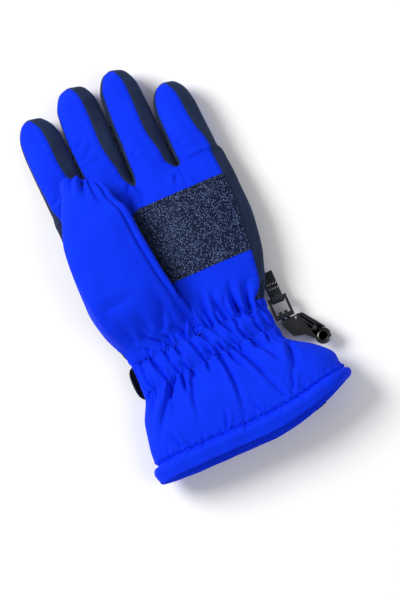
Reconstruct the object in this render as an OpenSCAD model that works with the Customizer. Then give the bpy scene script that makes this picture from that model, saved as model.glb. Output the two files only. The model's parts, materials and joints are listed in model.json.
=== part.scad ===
// Insulated ski glove for the left hand, lying on its back with the palm up.
// +Y runs to the fingertips, -X is the thumb side, +Z comes out of the palm.
// Each fabric panel is its own thin shell, so the inside stays open for the hand.

/* [Hand] */
// Width of the hand across the knuckles
hand_w = 131; // [122:1:136]
// Thickness of the hand, back to palm
hand_t = 31; // [29:0.5:33]
// Distance from the wrist line to the finger crotches
hand_l = 118; // [114:1:122]

/* [Fingers] */
// Half width of a finger stall
finger_w = 14.4; // [13.5:0.1:14.6]
// Half thickness of a finger stall
finger_h = 12.4; // [11:0.1:13]
// Greatest curl of the index and middle stalls, which meet the folded thumb
near_thumb_curl = 55; // [20:5:55]
// Greatest curl of the ring and little stalls
free_curl = 75; // [30:5:75]

/* [Thumb] */
// Tip of the folded thumb, along Y
thumb_tip_y = 146; // [138:1:147]
// How far the thumb lifts off the palm
thumb_lift = 50; // [20:5:50]

/* [Cuff] */
// Length of the flared cuff below the elastic
cuff_l = 58; // [54:1:62]
// Height of the hem
hem_h = 12; // [9:0.5:14]
// Greatest bend at the wrist, each way
wrist_bend = 25; // [10:5:25]

/* [Layers] */
// Thickness of the outer shell fabric
shell_t = 1.4; // [1:0.1:1.6]
// Thickness of the quilted finger lining
quilt_t = 2.8; // [2:0.1:3]
// Thickness of the fleece lining of the hand and cuff
fleece_t = 1.5; // [1:0.1:1.8]
// Thickness of the grip fabric
grip_t = 0.8; // [0.5:0.1:1]

/* [Strap] */
// Width of the wrist strap
strap_w = 25; // [20:1:25]
// Thickness of the wrist strap
strap_t = 1.1; // [0.8:0.1:1.3]

/* [Clip] */
// Width of the clip webbing
webbing_w = 9; // [7:0.5:9]
// Thickness of the hook
hook_t = 3.2; // [2.6:0.1:3.4]
// Radius of the hook's round eye
eye_r = 3; // [2:0.25:3.5]

/* [Hidden] */

blue = [0.06, 0.22, 0.98];
black = [0.10, 0.12, 0.16];
grip = [0.16, 0.18, 0.24];
fleece = [0.05, 0.06, 0.55];
wadding = [0.85, 0.86, 0.88];

gap = 0.3;           // clearance between two moving bodies
layer_gap = 0.1;     // clearance between two layers of the same wall
fold_y = 10;         // the wrist folds here
mid_z = hand_t / 2;
hem_y = -cuff_l - 20;
hem_in = 0.2;        // the cuff panels stop this far short of the hem
slant = 0.0035;      // the mouth of the cuff curves up towards the little finger side by this much
slant_x = 12;        // the curve starts here
flat_z = 0.3;        // the underside is flattened by this much
bbox_centre = [8.181, 61.719, 0];

// Angles of the panels round a section: 0 is the little finger side, 90 the palm side.
hand_front = [36, 144];
hand_left = [144, 216];
hand_back = [216, 324];
hand_right = [324, 396];
finger_front = [70, 142];
finger_left = [142, 250];
finger_back = [250, 322];
finger_right = [322, 430];
whole = [0, 360];

// Stations of the hand and cuff: y, lowest x, highest x, lowest z, highest z.
hand_stations = [
    [fold_y, -53, 50.5, 4.2, 29],
    [25, -59, 57, 1.5, 30],
    [45, -64, 63, 0, hand_t],
    [70, hand_w / 2 - 130, hand_w / 2 + 2, 0, hand_t],
    [95, -62.5, hand_w / 2 + 2, 0, hand_t - 1],
    [hand_l, -61, hand_w / 2 + 0.5, 0.4, 25.8]];
cuff_stations = [
    [fold_y, -53, 50.5, 4.2, 29],
    [0, -51.5, 49.5, 4.2, 29],
    [-10, -51.5, 49.5, 4.2, 29],
    [-22, -53, 52, 3.8, 30],
    [-34, -59, 68, 1.8, 34],
    [-50, -63, 78, 0.9, 36],
    [hem_y, -65, 81, 0.9, 37]];
// Stations of the thumb. It lies over the palm and grows out of the thenar corner.
thumb_stations = [
    [16, -52, -18, 31.9, 36.4],
    [28, -60, -6, 32.4, 44],
    [48, -64, -5, 32.8, 53],
    [75, -63, -8, 32.8, 55],
    [95, -61, -11, 32.6, 54],
    [thumb_tip_y - 29, -55, -17, 29, 48]];
thumb_dome = 29;
// Stations of the arch over the thumb's root, down to the palm.
arch_stations = [
    [14, -50, -20, 26.6, 32.6],
    [28, -60, -6, 15.2, 44],
    [48, -64, -5, 6.2, 53],
    [75, -63, -8, 4.2, 55]];

// Fingers: name, crotch end of the axis, tip, fold distance from the base, greatest curl.
fingers = [
    ["index", [-46, hand_l], [-48, 191], 36, near_thumb_curl],
    ["middle", [-15.2, hand_l + 1], [-13.2, 201], 35, near_thumb_curl],
    ["ring", [15.4, hand_l + 1], [17.8, 200], 32, free_curl],
    ["little", [49.5, hand_l - 3], [47.4, 177], 28, free_curl]];
finger_z = 12.8;
finger_dome = 15;
dome_steps = [0, 20, 38, 54, 68];
cap_steps = [68, 80, 88];

// The thumb lifts about this line across its root.
thumb_pivot = [-35, 45, 50];
thumb_turn = -45;    // direction of the line, from +X

/* ---------- points ---------- */

function flat(lists) = [for (list = lists) each list];
function power(v, e) = sign(v) * pow(abs(v), e);
function at(table, y, column) = lookup(y, [for (row = table) [row[0], row[column]]]);

// A point on a rounded section of half sizes w and h at an angle.
function section_point(w, h, a, n) = [w * power(cos(a), 2 / n), h * power(sin(a), 2 / n)];
function angles(range, count) = [for (j = [0:count]) range[0] + (range[1] - range[0]) * j / count];

// One ring of a tube given by stations, taken in by depth.
function station_ring(table, y, range, count, depth, n) =
    let (x0 = at(table, y, 1), x1 = at(table, y, 2), z0 = at(table, y, 3), z1 = at(table, y, 4))
    [for (a = angles(range, count))
        let (p = section_point((x1 - x0) / 2 - depth, (z1 - z0) / 2 + flat_z - depth, a, n))
        [(x0 + x1) / 2 + p[0], y, max(z0 + depth, (z0 + z1) / 2 + p[1])]];

// The cuff's mouth is cut on a curve, and the rings beyond the wrist lean with it.
function leaning(ring, y) =
    let (share = max(0, -22 - y) / (-22 - hem_y))
    [for (p = ring) [p[0], p[1] + slant * pow(max(0, p[0] - slant_x), 2) * share, p[2]]];

// A straight cut across a tube turns into a shallow V, so that the two sides can fold.
function notched(ring, y, z, sign_y, tangent, both) =
    [for (p = ring) [p[0], y + sign_y * (gap + (both ? abs(p[2] - z) : max(0, p[2] - z)) * tangent), p[2]]];

function finger_axis(f) = f[2] - f[1];
function finger_length(f) = norm(finger_axis(f));
function finger_along(f) = finger_axis(f) / finger_length(f);
function finger_point(f, x, v, z) =
    let (d = finger_along(f)) [f[1][0] + d[0] * v + d[1] * x, f[1][1] + d[1] * v - d[0] * x, z];
function finger_ring(f, v, share, range, count, depth) =
    [for (a = angles(range, count))
        let (p = section_point((finger_w - depth) * share, (finger_h - depth) * share, a, 2.4))
        finger_point(f, p[0], v, finger_z + p[1])];
// The end of a finger tube at its fold, on the hand's side or the tip's side.
function finger_fold_ring(f, side, range, count, depth) =
    [for (a = angles(range, count))
        let (p = section_point(finger_w - depth, finger_h - depth, a, 2.4))
        finger_point(f, p[0], f[3] + side * (gap + max(0, p[1]) * tan(f[4] / 2)), finger_z + p[1])];

/* ---------- solids ---------- */

// A wall between outer and inner rings. A wrapped wall goes all the way round.
module wall(outer, inner, wrapped) {
    rings = len(outer);
    count = len(outer[0]);
    last = count - 2;
    function o(k, j) = k * count + (wrapped ? j % (count - 1) : j);
    function i(k, j) = (rings + k) * count + (wrapped ? j % (count - 1) : j);
    function quad(a, b, c, d) = [[a, b, c], [a, c, d]];
    faces = flat([
        for (k = [0:rings - 2], j = [0:last]) quad(o(k, j), o(k, j + 1), o(k + 1, j + 1), o(k + 1, j)),
        for (k = [0:rings - 2], j = [0:last]) quad(i(k, j), i(k + 1, j), i(k + 1, j + 1), i(k, j + 1)),
        for (j = [0:last]) quad(o(0, j), i(0, j), i(0, j + 1), o(0, j + 1)),
        for (j = [0:last]) quad(o(rings - 1, j), o(rings - 1, j + 1), i(rings - 1, j + 1), i(rings - 1, j)),
        if (!wrapped) for (k = [0:rings - 2]) quad(o(k, 0), o(k + 1, 0), i(k + 1, 0), i(k, 0)),
        if (!wrapped) for (k = [0:rings - 2])
            quad(o(k, count - 1), i(k, count - 1), i(k + 1, count - 1), o(k + 1, count - 1))]);
    polyhedron(concat(flat(outer), flat(inner)), faces, convexity = 6);
}

// A strip of the hand between two stretches of y.
module hand_wall(range, ys, count, depth, t) {
    function rings(d) = [
        notched(station_ring(hand_stations, ys[0], range, count, d, 3), ys[0],
            16.6, 1, ys[0] == fold_y ? tan(wrist_bend / 2) : 0, true),
        for (k = [1:len(ys) - 1]) station_ring(hand_stations, ys[k], range, count, d, 3)];
    wall(rings(depth), rings(depth + t), range == whole);
}

// A strip of the wrist and cuff. The first ring is at the fold.
module cuff_wall(range, ys, count, depth, t) {
    function ring(y, d) = y == fold_y
        ? notched(station_ring(cuff_stations, y, range, count, d, 3), y, 16.6, -1, tan(wrist_bend / 2), true)
        : leaning(station_ring(cuff_stations, y, range, count, d, 3), y);
    function rings(d) = [for (k = [len(ys) - 1:-1:0]) ring(ys[k], d)];
    wall(rings(depth), rings(depth + t), range == whole);
}

// The part of a finger wall between the crotch and the fold.
module finger_root_wall(f, range, count, depth, t, start) {
    function rings(d) = [
        finger_ring(f, start, 1, range, count, d),
        finger_ring(f, f[3] * 0.5, 1, range, count, d),
        finger_fold_ring(f, -1, range, count, d)];
    wall(rings(depth), rings(depth + t), range == whole);
}

// The part of a finger wall between the fold and the tip.
module finger_tip_wall(f, range, count, depth, t) {
    straight = finger_length(f) - finger_dome;
    function rings(d) = [
        finger_fold_ring(f, 1, range, count, d),
        for (a = dome_steps)
            finger_ring(f, straight + (finger_dome - d) * sin(a), cos(a), range, count, d)];
    wall(rings(depth), rings(depth + t), range == whole);
}

// The small cap that closes a fingertip.
module finger_tip_cap(f, count) {
    straight = finger_length(f) - finger_dome;
    function rings(d) = [for (a = cap_steps)
        finger_ring(f, straight + (finger_dome - d) * sin(a), cos(a), whole, count, d)];
    wall(rings(0), rings(shell_t), true);
    hull() {
        for (d = [0, shell_t])
            translate(finger_point(f, 0, straight + (finger_dome - d) * sin(88) - 0.2, finger_z))
                sphere(r = 0.7, $fn = 8);
    }
}

// A strip of the thumb. Its last ring closes towards the tip.
module thumb_wall(range, ys, count, depth, t, cap_angles) {
    top = thumb_tip_y - thumb_dome;
    x0 = at(thumb_stations, top, 1);
    x1 = at(thumb_stations, top, 2);
    z0 = at(thumb_stations, top, 3);
    z1 = at(thumb_stations, top, 4);
    function rings(d) = [
        for (y = ys) station_ring(thumb_stations, y, range, count, d, 2.4),
        for (a = cap_angles)
            [for (s = angles(range, count))
                let (p = section_point(((x1 - x0) / 2 - d) * pow(cos(a), 0.8),
                    ((z1 - z0) / 2 - d) * pow(cos(a), 0.8), s, 2.4))
                [(x0 + x1) / 2 + p[0], top + (thumb_dome - d) * sin(a), (z0 + z1) / 2 - 1.5 * sin(a) + p[1]]]];
    wall(rings(depth), rings(depth + t), range == whole);
}

// Everything on one side of the thumb's fold: side 1 keeps the thumb, side -1 its base.
module thumb_side(side) {
    reach = 140;
    slope = tan(thumb_lift / 2);
    difference() {
        children();
        translate(thumb_pivot) rotate([0, 0, thumb_turn]) rotate([90, 0, 90])
            linear_extrude(2 * reach, center = true)
                polygon([[side * gap, -reach], [side * gap, 0], [side * (gap + reach * slope), reach],
                    [-side * reach, reach], [-side * reach, -reach]]);
    }
}

/* ---------- hand ---------- */

hand_ys = [fold_y, 25, 45, 70, 95, hand_l];

module thumb_hole() {
    translate([-37, 40, 10]) cylinder(h = 30, r = 13, $fn = 40);
}

module palm_panel() {
    color(blue) difference() {
        union() {
            hand_wall(hand_front, hand_ys, 12, 0, shell_t);
            for (f = fingers) finger_root_wall(f, finger_front, 5, 0, shell_t, -5);
        }
        thumb_hole();
    }
}

module back_panel() {
    color(blue) {
        hand_wall(hand_back, hand_ys, 12, 0, shell_t);
        for (f = fingers) finger_root_wall(f, finger_back, 5, 0, shell_t, -5);
    }
}

module side_band(range, f, finger_range) {
    color(black) {
        hand_wall(range, hand_ys, 6, 0, shell_t);
        finger_root_wall(f, finger_range, 7, 0, shell_t, hand_l - f[1][1] - 0.6);
    }
}

module fourchette(a, b) {
    web_y = min(a[1][1], b[1][1]) + 0.6;
    web_w = b[1][0] - a[1][0] - 2 * finger_w + 1.8;
    color(black) {
        finger_root_wall(a, finger_right, 7, 0, shell_t, 0.8);
        finger_root_wall(b, finger_left, 7, 0, shell_t, 0.8);
        translate([(a[1][0] + b[1][0]) / 2 - web_w / 2, web_y, finger_z - 8])
            cube([web_w, abs(a[1][1] - b[1][1]) + 2.4, 16]);
    }
}

module palm_grip_patch() {
    color(grip) difference() {
        hand_wall([38, 118], [43, 56, 70, 85, 100], 10, -layer_gap - grip_t, grip_t);
        thumb_hole();
    }
}

module insulation(range) {
    color(wadding) hand_wall(range, [20, 45, 70, 95, 108], 10, shell_t + layer_gap, 2.4);
}

module palm_insulation() {
    difference() {
        insulation([42, 138]);
        thumb_hole();
    }
}

module hand_lining() {
    inner = shell_t + layer_gap;
    color(fleece) difference() {
        union() {
            hand_wall(whole, [fold_y, 25, 45, 70, 95, 113], 24, inner + 2.6, fleece_t);
            for (f = fingers) finger_root_wall(f, whole, 14, inner, quilt_t, 110 - f[1][1]);
        }
        thumb_hole();
    }
}

module thumb_base() {
    ys = [14, 21, 28, 38, 48, 62, 75];
    function rings(d) = [for (y = ys) station_ring(arch_stations, y, [0, 200], 12, d, 2.4)];
    color(blue) thumb_side(-1) wall(rings(0), rings(shell_t), false);
}

/* ---------- fingers ---------- */

module finger_front(f) {
    color(blue) finger_tip_wall(f, finger_front, 5, 0, shell_t);
}

module finger_back(f) {
    color(blue) finger_tip_wall(f, finger_back, 5, 0, shell_t);
}

module finger_band(f) {
    color(black) {
        finger_tip_wall(f, finger_left, 7, 0, shell_t);
        finger_tip_wall(f, finger_right, 7, 0, shell_t);
        finger_tip_cap(f, 14);
    }
}

module finger_lining(f) {
    color(fleece) finger_tip_wall(f, whole, 14, shell_t + layer_gap, quilt_t);
}

/* ---------- thumb ---------- */

thumb_ys = [16, 28, 38, 48, 62, 75, 95];
thumb_caps = [0, 22, 42, 60, 75, 86];

module thumb_strip(range, count, depth, t) {
    thumb_side(1) thumb_wall(range, thumb_ys, count, depth, t, thumb_caps);
}

module thumb_outer_panel() {
    color(blue) thumb_strip([20, 196], 10, 0, shell_t);
}

module thumb_welt() {
    color(blue) thumb_strip([-20, 20], 4, 0, shell_t);
}

module thumb_grip_pad() {
    color(grip) thumb_strip([196, 340], 8, 0, shell_t);
}

module thumb_lining() {
    color(fleece) thumb_side(1)
        thumb_wall(whole, [28, 38, 48, 62, 75, 95], 16, shell_t + layer_gap, fleece_t, thumb_caps);
}

/* ---------- wrist and cuff ---------- */

wrist_ys = [fold_y, 0, -10, -22];
cuff_ys = [-22, -34, -50, hem_y + hem_h + hem_in];

module wrist_band_palm() {
    color(blue) cuff_wall([0, 180], wrist_ys, 14, 0, shell_t);
}

module wrist_band_back() {
    color(blue) cuff_wall([180, 360], wrist_ys, 14, 0, shell_t);
}

module cuff_palm_panel() {
    color(blue) cuff_wall([0, 180], cuff_ys, 14, 0, shell_t);
}

module cuff_back_panel() {
    color(blue) cuff_wall([180, 360], cuff_ys, 14, 0, shell_t);
}

module wrist_elastic() {
    color(black) cuff_wall(whole, [5, -5, -14], 24, shell_t + layer_gap, 1);
}

// The hem is a padded roll, fuller in the middle than at its edges.
module cuff_hem() {
    rows = [[hem_y + hem_h, 0.2], [hem_y + hem_h - 2.5, -0.7], [hem_y + 2.5, -0.9], [hem_y, 0.4]];
    function ring(y, d) = leaning(station_ring(cuff_stations, y, whole, 32, d, 3), y);
    color(blue) wall([for (r = rows) ring(r[0], r[1])], [for (r = rows) ring(r[0], 2.9)], true);
}

module cuff_lining() {
    color(fleece) cuff_wall(whole, [fold_y, -10, -22, -34, -50, hem_y + hem_h + hem_in], 24,
        shell_t + layer_gap + 1.2, fleece_t);
}

/* ---------- strap ---------- */

// From the wrist outwards: loop patch, clearance, hook pad, strap.
strap_ys = [strap_w - 20, -7.5, -20];
loop_t = 0.8;
pad_t = 0.6;
pad_at = layer_gap + loop_t + 0.4;
strap_at = pad_at + pad_t;

module strap_layer(range, ys, count, from, t) {
    cuff_wall(range, ys, count, -from - t, t);
}

module strap_loop_patch() {
    color(grip) strap_layer([202, 262], [4, -7.5, -18], 10, layer_gap, loop_t);
}

module strap_hook_pad() {
    color(grip) strap_layer([198, 232], [4, -7.5, -19], 6, pad_at, pad_t);
}

module wrist_strap() {
    color(black) strap_layer([192, 302], strap_ys, 16, strap_at, strap_t);
}

// The strap's sewn end stays on the wrist.
module strap_anchor() {
    color(black) strap_layer([303.5, 326], strap_ys, 4, 0, strap_at + strap_t);
}

/* ---------- clip ---------- */

tab_x = 58;          // middle of the webbing tab
tab_end = 7;         // the ring's bar is here, along Y
clip_z = 10;         // height of the clip's middle plane
ring_l = 15.5;
ring_w = 13.6;
ring_t = 3.2;
bar_r = 1.5;
running = 0.3;       // clearance round the bars
hook_pivot = [tab_x, tab_end - ring_l + 2 * bar_r, clip_z];
eye = [18.4, -23.6];
gate_root = [15.5, -16.2];
gate_turn = 119;     // direction of the gate from its root, from +X

module clip_webbing() {
    bore_r = bar_r + running;
    color(black) translate([tab_x - webbing_w / 2, tab_end, clip_z]) rotate([90, 0, 90])
        linear_extrude(webbing_w) difference() {
            union() {
                circle(r = bore_r + 1, $fn = 32);
                translate([0, -1]) square([20, 2]);
            }
            circle(r = bore_r, $fn = 32);
        }
}

module clip_ring() {
    side = (ring_w - webbing_w - 1) / 2;
    color(black) translate([tab_x, tab_end - ring_l / 2 + bar_r, clip_z]) {
        for (s = [-1, 1]) translate([s * (ring_w - side) / 2, 0, 0])
            cube([side, ring_l, ring_t], center = true);
        for (s = [-1, 1]) translate([0, s * (ring_l / 2 - bar_r), 0]) rotate([0, 90, 0])
            cylinder(h = ring_w - side, r = bar_r, center = true, $fn = 32);
    }
}

// The hook is drawn from the ring's lower bar. Its head is parallel to the bar.
module clip_hook() {
    color(black) translate(hook_pivot) {
        difference() {
            linear_extrude(hook_t, center = true) difference() {
                union() {
                    offset(1.5) polygon([[-3, -4.4], [0.8, -14.4], [8.6, -16.6], [14.2, -22.4],
                        [20.8, -18.4], [11, -4.4]]);
                    translate(eye) circle(r = eye_r + 2.6, $fn = 48);
                }
                hull() {
                    translate([8.6, -5.6]) circle(r = 2, $fn = 32);
                    translate([13.9, -13.8]) circle(r = 2, $fn = 32);
                }
            }
            translate([eye[0], eye[1], -5]) cylinder(h = 10, r = eye_r, $fn = 48);
            linear_extrude(2.4, center = true) hull() {
                translate([13.9, -13.8]) circle(r = 2, $fn = 32);
                translate(gate_root) circle(r = 2, $fn = 32);
            }
        }
        translate(gate_root) cylinder(h = 2.6, r = 0.5, center = true, $fn = 24);
        for (s = [-1, 1]) translate([s * 2, 0, 0]) hook_claw();
    }
}

// Two claws of the hook reach round the ring's lower bar.
module hook_claw() {
    inner = bar_r + running;
    rotate([0, 90, 0]) difference() {
        union() {
            cylinder(h = 2.2, r = inner + 1.5, center = true, $fn = 36);
            translate([-hook_t / 2, -4.2, -1.1]) cube([hook_t, 4.2, 2.2]);
        }
        cylinder(h = 3, r = inner, center = true, $fn = 36);
    }
}

// The gate is a sprung tongue on a pin in the hook's slot.
module clip_gate() {
    color(black) translate(hook_pivot) translate(gate_root) rotate([0, 0, gate_turn])
        linear_extrude(2.2, center = true) difference() {
            union() {
                circle(r = 1.1, $fn = 24);
                translate([0, -0.5]) square([10.5, 1]);
            }
            circle(r = 0.55, $fn = 24);
        }
}

/* ---------- which node is drawn ---------- */

// The library's origin is under the middle of the whole glove.
module place() {
    translate(-bbox_centre) children();
}

place() palm_panel();
place() back_panel();
place() side_band(hand_left, fingers[0], finger_left);  // radial_side_band
place() side_band(hand_right, fingers[3], finger_right);  // ulnar_side_band
place() fourchette(fingers[0], fingers[1]);  // fourchette_index_middle
place() fourchette(fingers[1], fingers[2]);  // fourchette_middle_ring
place() fourchette(fingers[2], fingers[3]);  // fourchette_ring_little
place() palm_grip_patch();
place() palm_insulation();
place() insulation([222, 318]);  // back_insulation
place() hand_lining();
place() thumb_base();
place() finger_front(fingers[0]);  // index_front
place() finger_back(fingers[0]);  // index_back
place() finger_band(fingers[0]);  // index_band
place() finger_lining(fingers[0]);  // index_lining
place() finger_front(fingers[1]);  // middle_front
place() finger_back(fingers[1]);  // middle_back
place() finger_band(fingers[1]);  // middle_band
place() finger_lining(fingers[1]);  // middle_lining
place() finger_front(fingers[2]);  // ring_front
place() finger_back(fingers[2]);  // ring_back
place() finger_band(fingers[2]);  // ring_band
place() finger_lining(fingers[2]);  // ring_lining
place() finger_front(fingers[3]);  // little_front
place() finger_back(fingers[3]);  // little_back
place() finger_band(fingers[3]);  // little_band
place() finger_lining(fingers[3]);  // little_lining
place() thumb_outer_panel();
place() thumb_welt();
place() thumb_grip_pad();
place() thumb_lining();
place() wrist_band_palm();
place() wrist_band_back();
place() wrist_elastic();
place() strap_loop_patch();
place() cuff_palm_panel();
place() cuff_back_panel();
place() cuff_hem();
place() cuff_lining();
place() strap_anchor();
place() wrist_strap();
place() strap_hook_pad();
place() clip_webbing();
place() clip_ring();
place() clip_hook();
place() clip_gate();
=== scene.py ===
"""Insulated ski glove for the left hand, lying palm up with its thumb folded over the palm.

Working points are in millimetres from the middle of the wrist: +Y to the fingertips, -X to the thumb side,
+Z out of the palm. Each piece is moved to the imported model's frame, in metres, when its mesh is made.
"""

import json
import math

import bmesh
import bpy
import numpy as np
from mathutils import Matrix, Vector
from mathutils.kdtree import KDTree


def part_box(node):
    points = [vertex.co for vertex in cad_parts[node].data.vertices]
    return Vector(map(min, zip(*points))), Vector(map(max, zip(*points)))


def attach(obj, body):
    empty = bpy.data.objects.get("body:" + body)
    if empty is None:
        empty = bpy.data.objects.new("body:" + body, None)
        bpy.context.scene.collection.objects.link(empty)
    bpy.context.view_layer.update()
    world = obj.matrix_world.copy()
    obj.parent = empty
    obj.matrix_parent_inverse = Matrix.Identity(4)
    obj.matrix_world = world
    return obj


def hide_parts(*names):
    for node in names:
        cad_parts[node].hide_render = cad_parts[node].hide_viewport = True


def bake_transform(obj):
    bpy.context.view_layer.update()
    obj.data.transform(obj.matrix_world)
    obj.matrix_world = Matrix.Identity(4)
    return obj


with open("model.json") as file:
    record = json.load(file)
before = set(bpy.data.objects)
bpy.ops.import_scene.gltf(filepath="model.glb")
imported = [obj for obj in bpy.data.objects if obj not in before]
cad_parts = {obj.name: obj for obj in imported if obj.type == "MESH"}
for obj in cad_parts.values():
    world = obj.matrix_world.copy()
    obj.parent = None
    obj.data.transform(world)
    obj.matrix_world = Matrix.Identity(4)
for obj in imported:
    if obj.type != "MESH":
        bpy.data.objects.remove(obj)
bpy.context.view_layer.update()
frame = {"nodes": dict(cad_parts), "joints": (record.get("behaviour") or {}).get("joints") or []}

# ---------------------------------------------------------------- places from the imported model

MM = 0.001
JOINTS = {joint["name"]: joint for joint in frame["joints"]}
# the wrist joint in working millimetres
WRIST_FOLD = (0.0, 10.0, 16.6)
WRIST = np.array(JOINTS["wrist_bend"]["pos_m"]) / MM - np.array(WRIST_FOLD)


def to_frame(points):
    """Working millimetres to the frame's metres."""
    return (np.asarray(points, float) + WRIST) * MM


def joint_place(name):
    return np.array(JOINTS[name]["pos_m"]) / MM - WRIST


# ---------------------------------------------------------------- sizes of the shell

# y, lowest x, highest x, lowest z, highest z of the hand and cuff
SHELL_STATIONS = np.array([
    (-78, -65, 81, 0.9, 37),
    (-50, -63, 78, 0.9, 36),
    (-34, -59, 68, 1.8, 34),
    (-22, -53, 53, 3.8, 30),
    (-10, -51.5, 49.5, 4.2, 29),
    (0, -51.5, 49.5, 4.2, 29),
    (10, -53, 50.5, 4.2, 29),
    (25, -59, 57, 1.5, 30),
    (45, -64, 63, 0.2, 31),
    (70, -64.5, 67.5, 0.2, 31),
    (95, -62.5, 67.5, 0.2, 30),
    (118, -61, 66, 0.4, 25.8),
], float)
HEM_Y = -78.0
HEM_TOP = -66.0
CUFF_TOP = -22.0
WRIST_TOP = 10.0
# where the index side band starts, and the height of the crotches where the hand's stations end
INDEX_BAND_FROM = 34.0
CROTCH_Y = 118.0
# y and rise of the rows that roll the hem from its stitch line inside the mouth to its outer face
HEM_ROWS = ((-66, -4.2), (-72, -4.6), (-77.2, -2.6), (-79.0, 0.2), (-76, 1.4), (-70, 1.5))
SHELL_ROWS = (-66, -60, -52, -42, -32, -22, -15, -8, 0, 10, 17, 25, 34, 43, 56, 70, 85, 100, 109, 118)
PATCH_ROWS = (43, 100)
MOUTH_SLANT = 0.0035
MOUTH_SLANT_X = 12.0
SHELL_POWER = 3.0
CLOTH_T = 1.2
FLOOR_GAP = 0.15

# Columns round the shell: nine across the palm, the little finger side, nine across the back and the index
# side. Their places are shares of the half width, even at the wrist and in line with the fingers at the
# knuckles.
EVEN_COLUMNS = (-0.86, -0.68, -0.46, -0.23, 0.0, 0.23, 0.46, 0.68, 0.865)
KNUCKLE_COLUMNS = (-0.93, -0.76, -0.521, -0.279, -0.036, 0.205, 0.47, 0.735, 0.88)
COLUMNS = 20
LITTLE_SIDE = 9
INDEX_SIDE = 19
PALM_CROTCHES = (2, 4, 6)
BACK_CROTCHES = (12, 14, 16)
CROTCH_DIP = 3.2
CROTCH_RISE = 2.5
SIDE_SEAMS = (0, 8, 10, 18)
SIDE_CREASE = 0.35
# the little finger side band starts this share of the hand's width further out at the wrist
BAND_START = 0.075

FINGERS = ("index", "middle", "ring", "little")
# fold distance from the crotch, and the angles of the palm side panel's two seams past the crotch
FINGER_FOLD = {"index": 36, "middle": 35, "ring": 32, "little": 28}
FINGER_SEAMS = {"index": (158, 75), "middle": (163, 76), "ring": (143, 72), "little": (146, 73)}
ROOT_SEAMS = (146, 52)
# angles of the back panel's right seam, middle and left seam
BACK_SEAMS = (-28, -64, -105)
FINGER_W = 14.7
FINGER_W_MOST = 16.6
FINGER_H = 12.4
FINGER_Z = 12.8
FINGER_POWER = 2.4
FINGER_SLIM = 0.08
FINGER_CREASE = 0.45
FINGER_DOME = 19.0
FINGER_BLEND = 12.0
FIRST_ROW = 6
# angle up the dome, share of the stall's section, share of the palm side panel's width
DOME_STEPS = ((22, 0.935, 0.98), (44, 0.755, 0.88), (64, 0.49, 0.7))
# how far up the dome the middles of the blue panels end, and their share of the stall's section there
PANEL_END = (0.97, 0.28)

FOURCHETTES = ("fourchette_index_middle", "fourchette_middle_ring", "fourchette_ring_little")
HAND_CLOTH = ("palm_panel", "palm_patch_zone", "back_panel",
              "radial_side_band", "ulnar_side_band", *FOURCHETTES)
WRIST_CLOTH = ("wrist_band_palm", "wrist_band_back")
CUFF_CLOTH = ("cuff_palm_panel", "cuff_back_panel")
BLUE_CLOTH = ("palm_panel", "palm_patch_zone", "back_panel", *WRIST_CLOTH, *CUFF_CLOTH, "cuff_hem")
# the walls beside the roots of the fingers, from the index side
ROOT_WALLS = ("radial_side_band", *FOURCHETTES, "ulnar_side_band")

BLUE_TAGS = set()
TAGS = {}


def tag(name):
    return TAGS.setdefault(name, len(TAGS))


# ---------------------------------------------------------------- small tools

def smooth(edge0, edge1, value):
    """0 at edge0, 1 at edge1, with an easy start and end."""
    t = np.clip((value - edge0) / (edge1 - edge0), 0, 1)
    return t * t * (3 - 2 * t)


def section(half_w, half_h, degrees, power):
    """Places on a rounded section; a higher power is boxier."""
    a = np.radians(degrees)
    c, s = np.cos(a), np.sin(a)
    x = half_w * np.sign(c) * np.abs(c) ** (2 / power)
    z = half_h * np.sign(s) * np.abs(s) ** (2 / power)
    return x, z


def along_stations(stations, y):
    """Straight-line values between stations."""
    return [np.interp(y, stations[:, 0], stations[:, k]) for k in range(1, stations.shape[1])]


def curve_through(stations, y):
    """Smooth values between stations, by a Hermite curve with limited slopes."""
    ys = stations[:, 0]
    values = stations[:, 1:]
    steps = np.diff(ys)
    slopes = np.diff(values, axis=0) / steps[:, None]
    tangent = np.vstack([slopes[:1], (slopes[1:] + slopes[:-1]) / 2, slopes[-1:]])
    k = np.clip(np.searchsorted(ys, y) - 1, 0, len(ys) - 2)
    h = steps[k][:, None]
    t = ((y - ys[k]) / steps[k])[:, None]
    return ((2 * t**3 - 3 * t**2 + 1) * values[k] + (t**3 - 2 * t**2 + t) * h * tangent[k]
            + (3 * t**2 - 2 * t**3) * values[k + 1] + (t**3 - t**2) * h * tangent[k + 1])


def ridge(distance, width):
    """1 on a line, fading over a width on both sides."""
    return np.exp(-(distance / width) ** 2)


def swell(points, wavelength, seed, waves=7):
    """Soft repeatable unevenness, about -1 to 1."""
    rng = np.random.default_rng(seed)
    total = np.zeros(len(points))
    for _ in range(waves):
        direction = rng.normal(size=3)
        direction /= np.linalg.norm(direction)
        length = wavelength * rng.uniform(0.7, 1.5)
        total += np.sin(points @ direction * 2 * math.pi / length + rng.uniform(0, 6.28))
    return total / math.sqrt(waves * 2)


def corner_normals(points, quads):
    """A unit normal at each point, averaged over its quads by their size."""
    p = points[quads]
    face = np.cross(p[:, 2] - p[:, 0], p[:, 3] - p[:, 1])
    total = np.zeros_like(points)
    for axis in range(3):
        total[:, axis] = np.bincount(quads.ravel(), np.repeat(face[:, axis], 4), len(points))
    length = np.linalg.norm(total, axis=1, keepdims=True)
    return total / np.maximum(length, 1e-12)


# ---------------------------------------------------------------- coarse shell

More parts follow.
